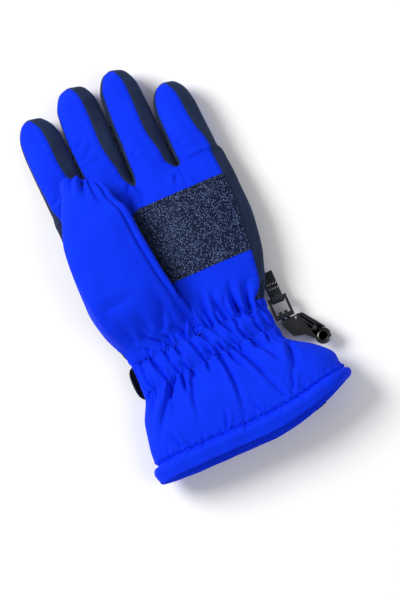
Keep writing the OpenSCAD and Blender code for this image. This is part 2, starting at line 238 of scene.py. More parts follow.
class Cage:
    """A coarse mesh of quads that a subdivision surface turns into the glove's shell."""

    def __init__(self):
        self.points = []
        self.quads = []
        self.tags = []
        self.creases = {}

    def add(self, point):
        self.points.append(tuple(float(v) for v in point))
        return len(self.points) - 1

    def quad(self, a, b, c, d, name):
        self.quads.append((a, b, c, d))
        self.tags.append(tag(name))

    def crease(self, a, b, value):
        self.creases[(min(a, b), max(a, b))] = value

    def mesh(self, points):
        mesh = bpy.data.meshes.new("cage")
        mesh.from_pydata([tuple(p) for p in points], [], self.quads)
        mesh.polygons.foreach_set("material_index", self.tags)
        values = mesh.attributes.new("crease_edge", "FLOAT", "EDGE")
        for edge in mesh.edges:
            values.data[edge.index].value = self.creases.get(tuple(sorted(edge.vertices)), 0.0)
        return mesh

    def refined(self, points, levels):
        mesh = self.mesh(points)
        obj = bpy.data.objects.new("cage", mesh)
        bpy.context.scene.collection.objects.link(obj)
        surface = obj.modifiers.new("surface", "SUBSURF")
        surface.levels = levels
        surface.render_levels = levels
        surface.boundary_smooth = "ALL"
        made = obj.evaluated_get(bpy.context.evaluated_depsgraph_get()).to_mesh()
        co = np.zeros(len(made.vertices) * 3)
        made.vertices.foreach_get("co", co)
        loops = np.zeros(len(made.loops), int)
        made.loops.foreach_get("vertex_index", loops)
        tags = np.zeros(len(made.polygons), int)
        made.polygons.foreach_get("material_index", tags)
        bpy.data.objects.remove(obj)
        bpy.data.meshes.remove(mesh)
        return co.reshape(-1, 3), loops.reshape(-1, 4), tags

    def through_points(self, rounds=5):
        """Moves the coarse points until the smooth surface passes through the places they started at."""
        wanted = np.array(self.points)
        cage = wanted.copy()
        for _ in range(rounds):
            surface, _, _ = self.refined(cage, 2)
            cage += (wanted - surface[:len(wanted)]) * 0.9
        return cage


def cuff_lean(y):
    """0 at the top of the cuff, 1 at the hem."""
    return np.maximum(0.0, CUFF_TOP - y) / (CUFF_TOP - HEM_Y)


def mouth_slant(x, lean):
    """How far the cuff's mouth curves up towards the little finger side."""
    return MOUTH_SLANT * np.maximum(0.0, x - MOUTH_SLANT_X) ** 2 * lean


def arch(u):
    return (1 - abs(u) ** SHELL_POWER) ** (1 / SHELL_POWER)


def shell_ring(y, rise=0.0):
    """Twenty places round the hand or cuff at y."""
    x0, x1, z0, z1 = along_stations(SHELL_STATIONS, max(y, HEM_Y))
    mid_x, mid_z = (x0 + x1) / 2, (z0 + z1) / 2
    half_w = (x1 - x0) / 2 + rise
    half_h = (z1 - z0) / 2 + rise
    to_knuckles = smooth(50, 112, y)
    palm = [a + (b - a) * to_knuckles for a, b in zip(EVEN_COLUMNS, KNUCKLE_COLUMNS)]
    palm[-1] += BAND_START * (1 - smooth(16, 60, y)) * smooth(8, 16, y)
    places = [(u, arch(u)) for u in palm] + [(1.0, 0.0)]
    places += [(u, -arch(u)) for u in reversed(palm)] + [(-1.0, 0.0)]
    lean = cuff_lean(y)
    dip = CROTCH_DIP * smooth(100, 119, y)
    ring = []
    for k, (u, v) in enumerate(places):
        x = mid_x + u * half_w
        z = mid_z + v * half_h
        if k in PALM_CROTCHES:
            z -= dip
        if k in BACK_CROTCHES:
            z += dip
        ring.append((x, y + mouth_slant(x, lean), z))
    return ring


def shell_tag(y, column):
    """Which piece a strip of the shell belongs to, above y. A strip runs from its column to the next."""
    palm_half = column < LITTLE_SIDE or column == INDEX_SIDE
    if y < HEM_TOP:
        return "cuff_hem"
    if y < CUFF_TOP:
        return "cuff_palm_panel" if palm_half else "cuff_back_panel"
    if y < WRIST_TOP:
        return "wrist_band_palm" if palm_half else "wrist_band_back"
    if column in (LITTLE_SIDE - 1, LITTLE_SIDE):
        return "ulnar_side_band"
    if column == INDEX_SIDE - 1 or (column == INDEX_SIDE and y >= INDEX_BAND_FROM):
        return "radial_side_band"
    if column == INDEX_SIDE:
        return "palm_panel"
    if column > LITTLE_SIDE:
        return "back_panel"
    in_patch = PATCH_ROWS[0] <= y < PATCH_ROWS[1] and column >= 2
    return "palm_patch_zone" if in_patch else "palm_panel"


class Finger:
    """A finger stall's axis, from its joint and its packed box."""

    def __init__(self, name):
        place = joint_place(name + "_curl")
        axis = JOINTS[name + "_curl"]["axis"]
        self.name = name
        self.along = np.array((-axis[1], axis[0], 0.0))
        self.across = np.array((axis[0], axis[1], 0.0))
        self.fold = FINGER_FOLD[name]
        self.base = np.array((place[0], place[1], 0.0)) - self.along * self.fold
        tip_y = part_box(name + "_band")[1].y / MM - WRIST[1]
        self.length = (tip_y - self.base[1]) / self.along[1]
        self.reach_left = self.reach_right = lambda y: FINGER_W

    def place(self, x, v, z):
        """x across the stall, v along it from the crotch, z above its middle."""
        return self.base + self.along * v + self.across * x + np.array((0, 0, FINGER_Z + z))

    def seam_degrees(self, v, closing):
        """Angles of palm side left, middle, right, right wall, back right, middle, left, left wall."""
        past_root = smooth(4, 34, v)
        left, right = (a + (b - a) * past_root for a, b in zip(ROOT_SEAMS, FINGER_SEAMS[self.name]))
        middle = (left + right) / 2
        left = middle + (left - middle) * closing
        right = middle + (right - middle) * closing
        right_wall = (right + BACK_SEAMS[0]) / 2
        left_wall = (left + (360 + BACK_SEAMS[2])) / 2
        return np.array((left, middle, right, right_wall, *BACK_SEAMS, left_wall))

    def ring(self, v, share, closing=1.0):
        """Eight places round the stall at v. Neighbouring stalls lean on each other."""
        slim = 1 - FINGER_SLIM * smooth(0.55 * self.length, self.length, v)
        y = self.base[1] + v * self.along[1]
        unit_x, z = section(1.0, FINGER_H * share, self.seam_degrees(v, closing), FINGER_POWER)
        half = np.where(unit_x > 0, self.reach_right(y), self.reach_left(y)) * share * slim
        return [self.place(unit_x[k] * half[k], v, z[k]) for k in range(8)]


def lean_together(fingers):
    """Half of the space between two neighbours goes to each stall."""
    for a, b in zip(fingers, fingers[1:]):
        def half_space(y, a=a, b=b):
            xa = a.base[0] + (y - a.base[1]) * a.along[0] / a.along[1]
            xb = b.base[0] + (y - b.base[1]) * b.along[0] / b.along[1]
            return min((xb - xa) / 2 - 0.1, FINGER_W_MOST)
        a.reach_right = half_space
        b.reach_left = half_space


def finger_rows(finger, split, straight):
    """For each ring: distance along the stall, share of its section, share of its palm side panel."""
    rows = [(v, 1.0, 1.0) for v in (FIRST_ROW, split * 0.62, split, finger.fold, finger.fold + FINGER_BLEND)]
    rows.append((straight, 0.99, 1.0))
    rows = [row for k, row in enumerate(rows) if k == 0 or row[0] > rows[k - 1][0] + 2]
    for degrees, share, closing in DOME_STEPS:
        rows.append((straight + FINGER_DOME * math.sin(math.radians(degrees)), share, closing))
    return rows


def finger_cage(cage, finger, roots, wall_names):
    """Adds one finger to the cage, from its eight crotch corners and the names of its root's two walls."""
    straight = finger.length - FINGER_DOME
    split = finger.fold - FINGER_BLEND
    rows = finger_rows(finger, split, straight)
    seam_columns = (0, 2, 4, 6)
    last = roots
    for row in rows:
        places = finger.ring(*row)
        if row is rows[-1]:
            furthest = finger.ring(straight + FINGER_DOME * PANEL_END[0], PANEL_END[1], row[2])
            places[1], places[5] = furthest[1], furthest[5]
        ring = [cage.add(p) for p in places]
        names = finger_strip_names(finger, row[0] <= split + 0.01, wall_names)
        for k in range(8):
            n = (k + 1) % 8
            cage.quad(last[k], last[n], ring[n], ring[k], names[k])
        for k in seam_columns:
            cage.crease(last[k], ring[k], FINGER_CREASE)
        last = ring
    tip = cage.add(finger.place(0, finger.length, 0))
    for k in seam_columns:
        cage.quad(last[k], last[k + 1], last[(k + 2) % 8], tip, finger.name + "_band")


def finger_strip_names(finger, at_root, wall_names):
    """The piece of each of the stall's eight strips."""
    right, left = wall_names
    if at_root:
        front, back = "palm_panel", "back_panel"
    else:
        front, back = finger.name + "_front", finger.name + "_back"
        right = left = finger.name + "_band"
    return (front, front, right, right, back, back, left, left)


def hand_cage(cage):
    """Adds the hem, cuff, wrist and hand to the cage, and gives its last ring."""
    rings = []
    strips = []
    for y, rise in HEM_ROWS:
        rings.append([cage.add(p) for p in shell_ring(y, rise)])
        strips.append(HEM_Y)
    for y in SHELL_ROWS:
        rings.append([cage.add(p) for p in shell_ring(y)])
        strips.append(y)
    for y, low, high in zip(strips, rings, rings[1:]):
        for column in range(COLUMNS):
            n = (column + 1) % COLUMNS
            cage.quad(low[column], low[n], high[n], high[column], shell_tag(y, column))
        if y >= WRIST_TOP:
            for column in SIDE_SEAMS:
                cage.crease(low[column], high[column], SIDE_CREASE)
    return rings[-1]


def glove_cage(fingers):
    cage = Cage()
    top = hand_cage(cage)
    middles = [top[INDEX_SIDE]]
    for a, b in zip(fingers, fingers[1:]):
        x = (a.base[0] + b.base[0]) / 2
        y = min(a.base[1], b.base[1]) + CROTCH_RISE
        middles.append(cage.add((x, y, FINGER_Z)))
    middles.append(top[LITTLE_SIDE])
    for k, finger in enumerate(fingers):
        front = top[2 * k:2 * k + 3]
        back = top[16 - 2 * k:19 - 2 * k]
        roots = front + [middles[k + 1]] + back + [middles[k]]
        finger_cage(cage, finger, roots, (ROOT_WALLS[k + 1], ROOT_WALLS[k]))
    return cage


# ---------------------------------------------------------------- folds and seams

# the wrist's section at the elastic
WRIST_HALF_W = 50.5
WRIST_HALF_H = 12.4
GATHERS_TO_Y = 62.0
GATHER_SPACING = 8.8
HEM_PUCKER_SPACING = 5.6
SEAM_PUCKER_SPACING = 5.2


def round_the_wrist(points):
    """Distance round the elastic from the middle of the palm side, and half the way round it."""
    x0, x1, z0, z1 = along_stations(SHELL_STATIONS, np.clip(points[:, 1], HEM_Y, CROTCH_Y))
    p = np.clip((points[:, 0] - (x0 + x1) / 2) / ((x1 - x0) / 2), -1.2, 1.2)
    q = np.clip((points[:, 2] - (z0 + z1) / 2) / ((z1 - z0) / 2), -1.2, 1.2)
    rounder = SHELL_POWER / 2
    angle = np.arctan2(np.sign(p) * np.abs(p) ** rounder, np.sign(q) * np.abs(q) ** rounder)
    degrees = np.linspace(0, 180, 361)
    x, z = section(WRIST_HALF_W, WRIST_HALF_H, 90 - degrees, SHELL_POWER)
    length = np.concatenate([[0], np.cumsum(np.hypot(np.diff(x), np.diff(z)))])
    return np.sign(angle) * np.interp(np.degrees(np.abs(angle)), degrees, length), length[-1]


def fold_line(u, v, line):
    """Height change of one fold. It runs from its pinched end to where it fades, with one steep side."""
    u0, v0, u1, v1, width, depth = line
    du, dv = u1 - u0, v1 - v0
    length = math.hypot(du, dv)
    height = np.zeros(len(u))
    reach = 5 * width + 2
    near = ((u > min(u0, u1) - reach) & (u < max(u0, u1) + reach)
            & (v > min(v0, v1) - reach) & (v < max(v0, v1) + reach))
    if not near.any():
        return height
    a, b = u[near] - u0, v[near] - v0
    t = (a * du + b * dv) / length**2
    bow = 0.05 * length * np.sin(np.clip(t, 0, 1) * math.pi) * np.sign(u0 + 0.3)
    side = (a * dv - b * du) / length + bow
    strength = smooth(-0.12, 0.06, t) * (1 - smooth(0.25, 1.05, t))
    spread = width * (0.75 + 0.6 * np.clip(t, 0, 1))
    steep = np.where(side > 0, spread * 0.5, spread * 1.6)
    valley = np.exp(-(np.abs(side) / steep) ** 1.3)
    lip = ridge(np.abs(side) - 1.9 * spread, 1.1 * spread) * np.where(side > 0, 1.0, 0.5)
    height[near] = depth * strength * (0.42 * lip - valley)
    return height


def upper_row_y(s):
    """The upper row of elastic stitching, at a distance s round the wrist."""
    return 3.5 + 0.03 * s


def lower_row_y(s):
    """The lower row of elastic stitching."""
    return -15.0 + 0.07 * np.clip(s, -50, 50)


def gather_lines(half_round):
    """Folds pinched by the two rows of elastic stitching, all the way round."""
    rng = np.random.default_rng(11)
    lines = []
    count = int(2 * half_round / GATHER_SPACING)
    for k in range(count):
        s = -half_round + (k + 0.5) * 2 * half_round / count + rng.uniform(-1.3, 1.3)
        y = upper_row_y(s)
        up = rng.uniform(8, 15) + (9 if k % 3 == 0 else 0)
        lines.append((s, y, s + rng.uniform(-6, 3), y + up, rng.uniform(0.9, 1.5), rng.uniform(2.8, 4.8)))
        lines.append((s, y, s + rng.uniform(2, 7), y - rng.uniform(10, 16), 1.1, rng.uniform(2.8, 4.6)))
        s += GATHER_SPACING / 2 + rng.uniform(-0.9, 0.9)
        y = lower_row_y(s)
        down = rng.uniform(7, 12) + (10 if k % 4 == 1 else 0)
        lines.append((s, y, s + rng.uniform(-7, -2), y + rng.uniform(10, 16), 1.1, rng.uniform(2.8, 4.6)))
        lines.append((s, y, s + rng.uniform(-3, 3), y - down, rng.uniform(0.9, 1.4), rng.uniform(2.8, 4.4)))
    return lines


def hem_lines(half_round):
    """Small puckers on both sides of the hem's stitch line."""
    rng = np.random.default_rng(5)
    lines = []
    count = int(2 * half_round / HEM_PUCKER_SPACING)
    for k in range(count):
        s = -half_round + (k + 0.5) * 2 * half_round / count + rng.uniform(-0.9, 0.9)
        depth = rng.uniform(0.3, 1.7)
        lines.append((s, HEM_TOP, s + rng.uniform(-1.5, 1.5), HEM_TOP + rng.uniform(4, 9), 0.9, depth))
        lines.append((s, HEM_TOP, s + rng.uniform(-1, 1), HEM_TOP - rng.uniform(4, 8), 0.9, depth * 0.8))
    return lines


# Long folds on the palm side, as x, y at the pinched end and at the fading end, width, depth
LONG_FOLDS = (
    (16.5, -13, 34, -60, 1.6, 4.0),
    (5.7, -12, 5, -66, 1.5, 3.8),
    (-28.6, -18, -58, -60, 1.8, 3.2),
    (52, -26, 47, -52, 2.8, 4.4),
    (-9, -64, -4, -48, 1.3, 2.2),
    (30.9, 5, 34.4, 32, 2.0, 5.4),
    (38.1, 3, 45.5, 27, 2.0, 5.2),
    (22, 5, 19, 30, 2.0, 4.4),
    (11, 5, 13, 34, 1.9, 4.4),
    (-10, 8, -4, 32, 2.0, 5.0),
    (1.4, 8, -2, 30, 2.0, 4.6),
    (-22, 4, -24, 22, 1.6, 2.6),
    (-40, 2, -47, 18, 1.6, 2.6),
    (-33, -17, -36, -42, 1.7, 2.6),
    (27, -11, 47, -46, 1.5, 3.0),
    (37, -60, 33, -44, 1.4, 2.4),
    (44, -57, 50, -42, 1.4, 2.4),
    (-45, -18, -52, -38, 1.6, 2.4),
    (-16, -18, -24, -56, 1.5, 2.6),
    (-42, -62, -50, -44, 1.4, 2.0),
    (18, -62, 14, -50, 1.3, 1.8),
    (-4, 119, -9, 102, 2.0, 1.6),
    (0, 118, 4, 103, 1.8, 1.4),
    (29, 113, 24, 102, 1.7, 1.4),
    (-27, 157, -16, 163, 1.7, 1.2),
    (-26, 148, -14, 155, 1.9, 1.4),
    (4, 146, 13, 150, 1.7, 1.1),
    (6, 136, 16, 141, 1.8, 1.1),
    (38, 131, 48, 133, 1.7, 1.1),
    (-56, 128, -47, 134, 1.7, 1.1),
)


def under_strap(points):
    """1 where the strap presses the gathers flat, on the back of the wrist, and less beside the clip."""
    x, y, z = points.T
    below = 1 - smooth(18, 23, z)
    across = smooth(-25, -20, y) * (1 - smooth(5, 10, y))
    beside_clip = 0.8 * smooth(45, 50, x) * smooth(-26, -18, y) * (1 - smooth(12, 18, y))
    return np.maximum(below * across * (1 - smooth(36, 42, x)), beside_clip)


def seam_distance(points, quads, tags):
    """Distance of every point to the nearest seam between blue and black cloth."""
    blue = np.isin(tags, list(BLUE_TAGS))
    a = quads.ravel()
    b = np.roll(quads, -1, axis=1).ravel()
    keys = np.minimum(a, b).astype(np.int64) * len(points) + np.maximum(a, b)
    owner = np.repeat(np.arange(len(quads)), 4)
    order = np.argsort(keys, kind="stable")
    keys, owner = keys[order], owner[order]
    pair = np.nonzero(keys[1:] == keys[:-1])[0]
    split = pair[blue[owner[pair]] != blue[owner[pair + 1]]]
    corners = np.unique(np.concatenate([keys[split] // len(points), keys[split] % len(points)]))
    tree = KDTree(len(corners))
    for k, corner in enumerate(corners):
        tree.insert(points[corner], k)
    tree.balance()
    return np.array([tree.find(p)[2] for p in points])


def facing_out(points, normals):
    """1 where the cloth of the cuff faces outwards, -1 where it faces into its mouth."""
    out = (points - (5, 0, 18)) * (1, 0, 3)
    return np.einsum("ij,ij->i", normals, out / np.linalg.norm(out, axis=1, keepdims=True))


def on_pieces(points, quads, tags, wanted):
    """1 at the points of the wanted pieces."""
    chosen = np.zeros(len(points))
    chosen[quads[np.isin(tags, wanted)].ravel()] = 1.0
    return chosen


def seam_lift(points, quads, tags):
    """Sinks the seams between blue and black cloth, with a puckered swelling on their blue side."""
    distance = seam_distance(points, quads, tags)
    on_blue = on_pieces(points, quads, tags, list(BLUE_TAGS))
    pucker = np.sin(2 * math.pi * (points[:, 1] + 0.6 * swell(points, 30, 3)) / SEAM_PUCKER_SPACING)
    lift = -0.5 * ridge(distance, 0.9)
    lift += on_blue * 0.2 * pucker * ridge(distance - 2.2, 2.0)
    lift += on_blue * 0.3 * ridge(distance - 2.6, 1.6)
    return lift


def gather_lift(points, s, half_round, pressed):
    """Gathers of the wrist's elastic, and the hem's stitch line with its puckers and its roll."""
    x, y, _ = points.T
    wrist = pressed * (y < GATHERS_TO_Y)
    upper, lower = upper_row_y(s), lower_row_y(s)
    hem_y = y - mouth_slant(x, np.minimum(cuff_lean(y), 1))
    lift = np.zeros(len(points))
    for line in gather_lines(half_round):
        lift += wrist * fold_line(s, y, line)
    for line in hem_lines(half_round):
        lift += fold_line(s, hem_y, line)
    for row in (upper, lower):
        lift -= pressed * 0.35 * ridge(y - row, 1.8)
    lift += pressed * 1.2 * ridge(y - (upper + lower) / 2, 6)
    lift -= 2.1 * ridge(hem_y - HEM_TOP, 1.3)
    lift += 1.3 * ridge(hem_y - HEM_TOP + 5.5, 3.6)
    return lift


def slack_lift(points, normals, s, pressed):
    """Soft unevenness: short across the gathers, long on the hand and cuff, calm between the fingers."""
    y = points[:, 1]
    gathered = ridge(y + 5, 20)
    loose = 1 - smooth(0.35, 0.75, np.abs(normals[:, 0])) * smooth(104, 120, y)
    lift = gathered * pressed * 0.8 * swell(np.stack([s, y * 0.4, np.zeros_like(s)], 1), 17, 8)
    lift += loose * 0.6 * swell(points, 52, 21) * (1 - gathered)
    lift += loose * (0.2 + 0.2 * smooth(0, -20, y)) * swell(points, 19, 22) * (1 - gathered)
    return lift


def hollow_lift(points):
    """The palm's hollow beside the folded thumb, its raised edge, and the crease below the index finger."""
    x, y, _ = points.T
    hollow = smooth(20, 40, y) * (1 - smooth(104, 116, y))
    edge = -2.2 - (y - 70) * 0.04
    lift = -hollow * 6.6 * smooth(0, 6.5, edge - x)
    lift += hollow * 0.9 * ridge(x - edge - 1.2, 1.8)
    lift -= ridge(x - 33.5, 1.0) * smooth(96, 103, y) * (1 - smooth(114, 118, y))
    return lift


def knead(points, quads, tags):
    """Gives the smooth shell its seams, gathers, folds and soft unevenness."""
    normals = corner_normals(points, quads)
    x, y, z = points.T
    s, half_round = round_the_wrist(points)
    _, _, z0, z1 = along_stations(SHELL_STATIONS, np.clip(y, HEM_Y, CROTCH_Y))
    palm_side = smooth(0.35, 0.75, (z - z0) / (z1 - z0))
    hem = on_pieces(points, quads, tags, [TAGS["cuff_hem"]])
    outside = 1 - hem * (1 - smooth(-0.1, 0.5, facing_out(points, normals)))
    pressed = 1 - 0.85 * under_strap(points)
    lift = seam_lift(points, quads, tags) + palm_side * hollow_lift(points)
    lift += outside * gather_lift(points, s, half_round, pressed)
    lift += outside * slack_lift(points, normals, s, pressed)
    for line in LONG_FOLDS:
        lift += palm_side * outside * fold_line(x, y, line)
    moved = points + normals * lift[:, None]
    moved[:, 2] = np.maximum(moved[:, 2], FLOOR_GAP)
    return moved


# ---------------------------------------------------------------- meshes from parts of the shell

def placed_object(name, points, faces, normals_of_loops=None):
    mesh = bpy.data.meshes.new(name)
    mesh.from_pydata(to_frame(points).tolist(), [], [tuple(int(i) for i in f) for f in faces])
    mesh.polygons.foreach_set("use_smooth", [True] * len(mesh.polygons))
    if normals_of_loops is not None:
        mesh.normals_split_custom_set([tuple(n) for n in normals_of_loops])
    obj = bpy.data.objects.new(name, mesh)
    bpy.context.scene.collection.objects.link(obj)
    return obj


def cloth_piece(name, points, quads, normals, thickness, raise_by=0.0, tuck_edge=0.0):
    """A piece of cloth with its thickness: outer face on the shell, inner face below, and a closed rim."""
    used = np.unique(quads)
    renumber = np.full(len(points), -1)
    renumber[used] = np.arange(len(used))
    own = renumber[quads]
    n = normals[used]
    outer = points[used] + n * raise_by
    a = own.ravel()
    b = np.roll(own, -1, axis=1).ravel()
    forward = a.astype(np.int64) * len(used) + b
    backward = b.astype(np.int64) * len(used) + a
    rim = ~np.isin(forward, backward)
    ra, rb = a[rim], b[rim]
    if tuck_edge:
        edge = np.unique(np.concatenate([ra, rb]))
        outer[edge] -= n[edge] * tuck_edge
    inner = outer - n * thickness
    count = len(used)
    faces = np.vstack([own, own[:, ::-1] + count, np.stack([rb, ra, ra + count, rb + count], 1)])
    both = np.vstack([outer, inner])
    loop_normals = np.zeros((len(faces) * 4, 3))
    loop_normals[:own.size] = n[own.ravel()]
    loop_normals[own.size:2 * own.size] = -n[own[:, ::-1].ravel()]
    return placed_object(name, both, faces, loop_normals)


def finish_piece(obj, finishes, kind, nodes=()):
    """Gives a piece its finish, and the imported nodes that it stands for."""
    obj.data.materials.clear()
    obj.data.materials.append(finishes[kind])
    if nodes:
        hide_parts(*nodes)
    return obj


def blend_wrist(obj):
    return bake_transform(obj)


def blend_finger(obj):
    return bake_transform(obj)


# ---------------------------------------------------------------- materials

def new_group(name, inputs, outputs):
    group = bpy.data.node_groups.new(name, "ShaderNodeTree")
    for label, value in inputs:
        socket = group.interface.new_socket(label, in_out="INPUT", socket_type="NodeSocketFloat")
        socket.default_value = value
    for label in outputs:
        group.interface.new_socket(label, in_out="OUTPUT", socket_type="NodeSocketFloat")
    return group, group.nodes.new("NodeGroupInput"), group.nodes.new("NodeGroupOutput")


def feed(links, value, socket):
    """Links an output to a socket, or sets the socket to a number."""
    if hasattr(value, "links"):
        links.new(value, socket)
    else:
        socket.default_value = value


def math_node(nodes, links, operation, *values):
    node = nodes.new("ShaderNodeMath")
    node.operation = operation
    for value, socket in zip(values, node.inputs):
        feed(links, value, socket)
    return node.outputs[0]


def noise_node(nodes, links, vector, scale, detail=2.0, roughness=0.5):
    node = nodes.new("ShaderNodeTexNoise")
    node.inputs["Detail"].default_value = detail
    node.inputs["Roughness"].default_value = roughness
    links.new(vector, node.inputs["Vector"])
    feed(links, scale, node.inputs["Scale"])
    return node.outputs["Fac"]


def cloth_grain_group():
    """Fine knitted face with soft mottling: a height for the bump and a mask for the colour."""
    scales = [("Threads", 1500.0), ("Mottle", 60.0)]
    group, source, result = new_group("cloth_grain", scales, ["Height", "Mask"])
    nodes, links = group.nodes, group.links
    place = nodes.new("ShaderNodeTexCoord").outputs["Object"]
    threads = nodes.new("ShaderNodeTexVoronoi")
    threads.feature = "F1"
    links.new(place, threads.inputs["Vector"])
    links.new(source.outputs["Threads"], threads.inputs["Scale"])
    coarser = math_node(nodes, links, "MULTIPLY", source.outputs["Threads"], 0.5)
    fuzz = noise_node(nodes, links, place, coarser, detail=3.0)
    height = math_node(nodes, links, "SUBTRACT", fuzz, threads.outputs["Distance"])
    links.new(height, result.inputs["Height"])
    patches = noise_node(nodes, links, place, source.outputs["Mottle"], detail=3.0, roughness=0.6)
    both = math_node(nodes, links, "MULTIPLY", fuzz, 0.35)
    both = math_node(nodes, links, "MULTIPLY_ADD", patches, 0.65, both)
    links.new(both, result.inputs["Mask"])
    return group


def thread_weave_group():
    """Ribs of woven tape: threads across and along, out of step."""
    group, source, result = new_group("thread_weave", [("Ribs", 900.0)], ["Height", "Mask"])
    nodes, links = group.nodes, group.links
    place = nodes.new("ShaderNodeTexCoord").outputs["Object"]
    split = nodes.new("ShaderNodeSeparateXYZ")
    links.new(place, split.inputs[0])
    waves = []
    for axis, stretch in (("X", 1.0), ("Y", 1.3)):
        turned = math_node(nodes, links, "MULTIPLY", split.outputs[axis], source.outputs["Ribs"])
        spread = math_node(nodes, links, "MULTIPLY", turned, 2.1 * stretch)
        waves.append(math_node(nodes, links, "SINE", spread))
    crossed = math_node(nodes, links, "MULTIPLY", waves[0], waves[1])
    lifted = math_node(nodes, links, "MULTIPLY_ADD", crossed, 0.5, 0.5)
    links.new(lifted, result.inputs["Height"])
    # The Mask is the threads' height in uneven patches, so the tape is paler on the tops of its threads.
    patchiness = noise_node(nodes, links, place, 220.0, detail=4.0, roughness=0.65)
    links.new(math_node(nodes, links, "MULTIPLY", lifted, patchiness), result.inputs["Mask"])
    return group


class Finish:
    """One material: a Principled shader, a mixed base colour and a bump."""

    def __init__(self, name, **constants):
        self.material = bpy.data.materials.new(name)
        self.material.use_nodes = True
        self.nodes = self.material.node_tree.nodes
        self.links = self.material.node_tree.links
        self.shader = self.nodes["Principled BSDF"]
        for label, value in constants.items():
            self.shader.inputs[label.replace("_", " ")].default_value = value

    def group(self, group, **values):
        node = self.nodes.new("ShaderNodeGroup")
        node.node_tree = group
        for label, value in values.items():
            node.inputs[label].default_value = value
        return node

    def colour(self, mask, low, high, place0=0.0, place1=1.0):
        ramp = self.nodes.new("ShaderNodeValToRGB")
        ramp.color_ramp.elements[0].position = place0
        ramp.color_ramp.elements[0].color = (*low, 1)
        ramp.color_ramp.elements[1].position = place1
        ramp.color_ramp.elements[1].color = (*high, 1)
        self.links.new(mask, ramp.inputs[0])
        self.links.new(ramp.outputs[0], self.shader.inputs["Base Color"])

    def rough(self, mask, low, high):
        spread = self.nodes.new("ShaderNodeMapRange")
        spread.inputs["To Min"].default_value = low
        spread.inputs["To Max"].default_value = high
        self.links.new(mask, spread.inputs["Value"])
        self.links.new(spread.outputs[0], self.shader.inputs["Roughness"])

    def bump(self, height, strength, distance):
        node = self.nodes.new("ShaderNodeBump")
        node.inputs["Strength"].default_value = strength
        node.inputs["Distance"].default_value = distance
        self.links.new(height, node.inputs["Height"])
        self.links.new(node.outputs[0], self.shader.inputs["Normal"])

    def object_place(self):
        return self.nodes.new("ShaderNodeTexCoord").outputs["Object"]


def softshell_finish(name, low, high, grain, sheen, tint):
    """Matt stretch cloth with a fine knit and a faint sheen."""
    made = Finish(name, Specular_IOR_Level=0.09, Sheen_Weight=sheen, Sheen_Roughness=0.5,
                  Sheen_Tint=(*tint, 1))
    cloth = made.group(grain, Threads=1500.0, Mottle=45.0)
    made.colour(cloth.outputs["Mask"], low, high, place0=0.3, place1=0.7)
    made.rough(cloth.outputs["Mask"], low=0.72, high=0.92)
    made.bump(cloth.outputs["Height"], strength=0.25, distance=0.0003)
    return made.material


def grip_finish():
    """Rubbery fabric printed with short pale flecks on a navy ground."""
    made = Finish("grip_fabric_finish", Specular_IOR_Level=0.12)
    nodes, links = made.nodes, made.links
    place = made.object_place()
    stretch = nodes.new("ShaderNodeMapping")
    stretch.inputs["Scale"].default_value = (1.0, 0.7, 1.0)
    stretch.inputs["Rotation"].default_value = (0, 0, 0.35)
    links.new(place, stretch.inputs["Vector"])
    cells = nodes.new("ShaderNodeTexVoronoi")
    cells.feature = "F1"
    cells.inputs["Scale"].default_value = 1020.0
    cells.inputs["Randomness"].default_value = 0.8
    links.new(stretch.outputs[0], cells.inputs["Vector"])
    broken = noise_node(nodes, links, stretch.outputs[0], 700.0, detail=3.0, roughness=0.7)
    uneven = math_node(nodes, links, "MULTIPLY_ADD", broken, 0.4, 0.62)
    flecks = math_node(nodes, links, "SUBTRACT", uneven, cells.outputs["Distance"])
    made.colour(flecks, (0.003, 0.007, 0.03), (0.13, 0.2, 0.4), place0=0.4, place1=0.7)
    made.rough(flecks, low=0.45, high=0.7)
    made.bump(flecks, strength=0.5, distance=0.0005)
    return made.material


def fleece_finish(name, low, high):
    """Brushed pile, also for wadding and loops."""
    made = Finish(name, Specular_IOR_Level=0.1, Roughness=0.95, Sheen_Weight=0.25)
    pile = noise_node(made.nodes, made.links, made.object_place(), 900.0, detail=5.0, roughness=0.7)
    made.colour(pile, low, high, place0=0.3, place1=0.7)
    made.bump(pile, strength=0.8, distance=0.001)
    return made.material


def tape_finish(name, low, high, weave, ribs):
    """Woven tape, paler on the tops of its threads, in uneven patches."""
    made = Finish(name, Specular_IOR_Level=0.25, Roughness=0.7)
    tape = made.group(weave, Ribs=ribs)
    made.colour(tape.outputs["Mask"], low, high, place0=0.1, place1=0.6)
    made.bump(tape.outputs["Height"], strength=0.6, distance=0.0004)
    return made.material


def plastic_finish():
    """Glossy moulded plastic with light scuffs."""
    made = Finish("black_plastic_finish", Specular_IOR_Level=0.35, Coat_Weight=0.3, Coat_Roughness=0.15)
    scuffs = noise_node(made.nodes, made.links, made.object_place(), 260.0, detail=4.0, roughness=0.7)
    made.colour(scuffs, (0.002, 0.0026, 0.005), (0.006, 0.008, 0.013), place0=0.4, place1=0.75)
    made.rough(scuffs, low=0.2, high=0.45)
    made.bump(scuffs, strength=0.12, distance=0.0002)
    return made.material


def thread_finish(name, low, high):
    made = Finish(name, Specular_IOR_Level=0.08, Roughness=0.8)
    twist = noise_node(made.nodes, made.links, made.object_place(), 2400.0)
    made.colour(twist, low, high, place0=0.35, place1=0.65)
    made.bump(twist, strength=0.3, distance=0.0002)
    return made.material


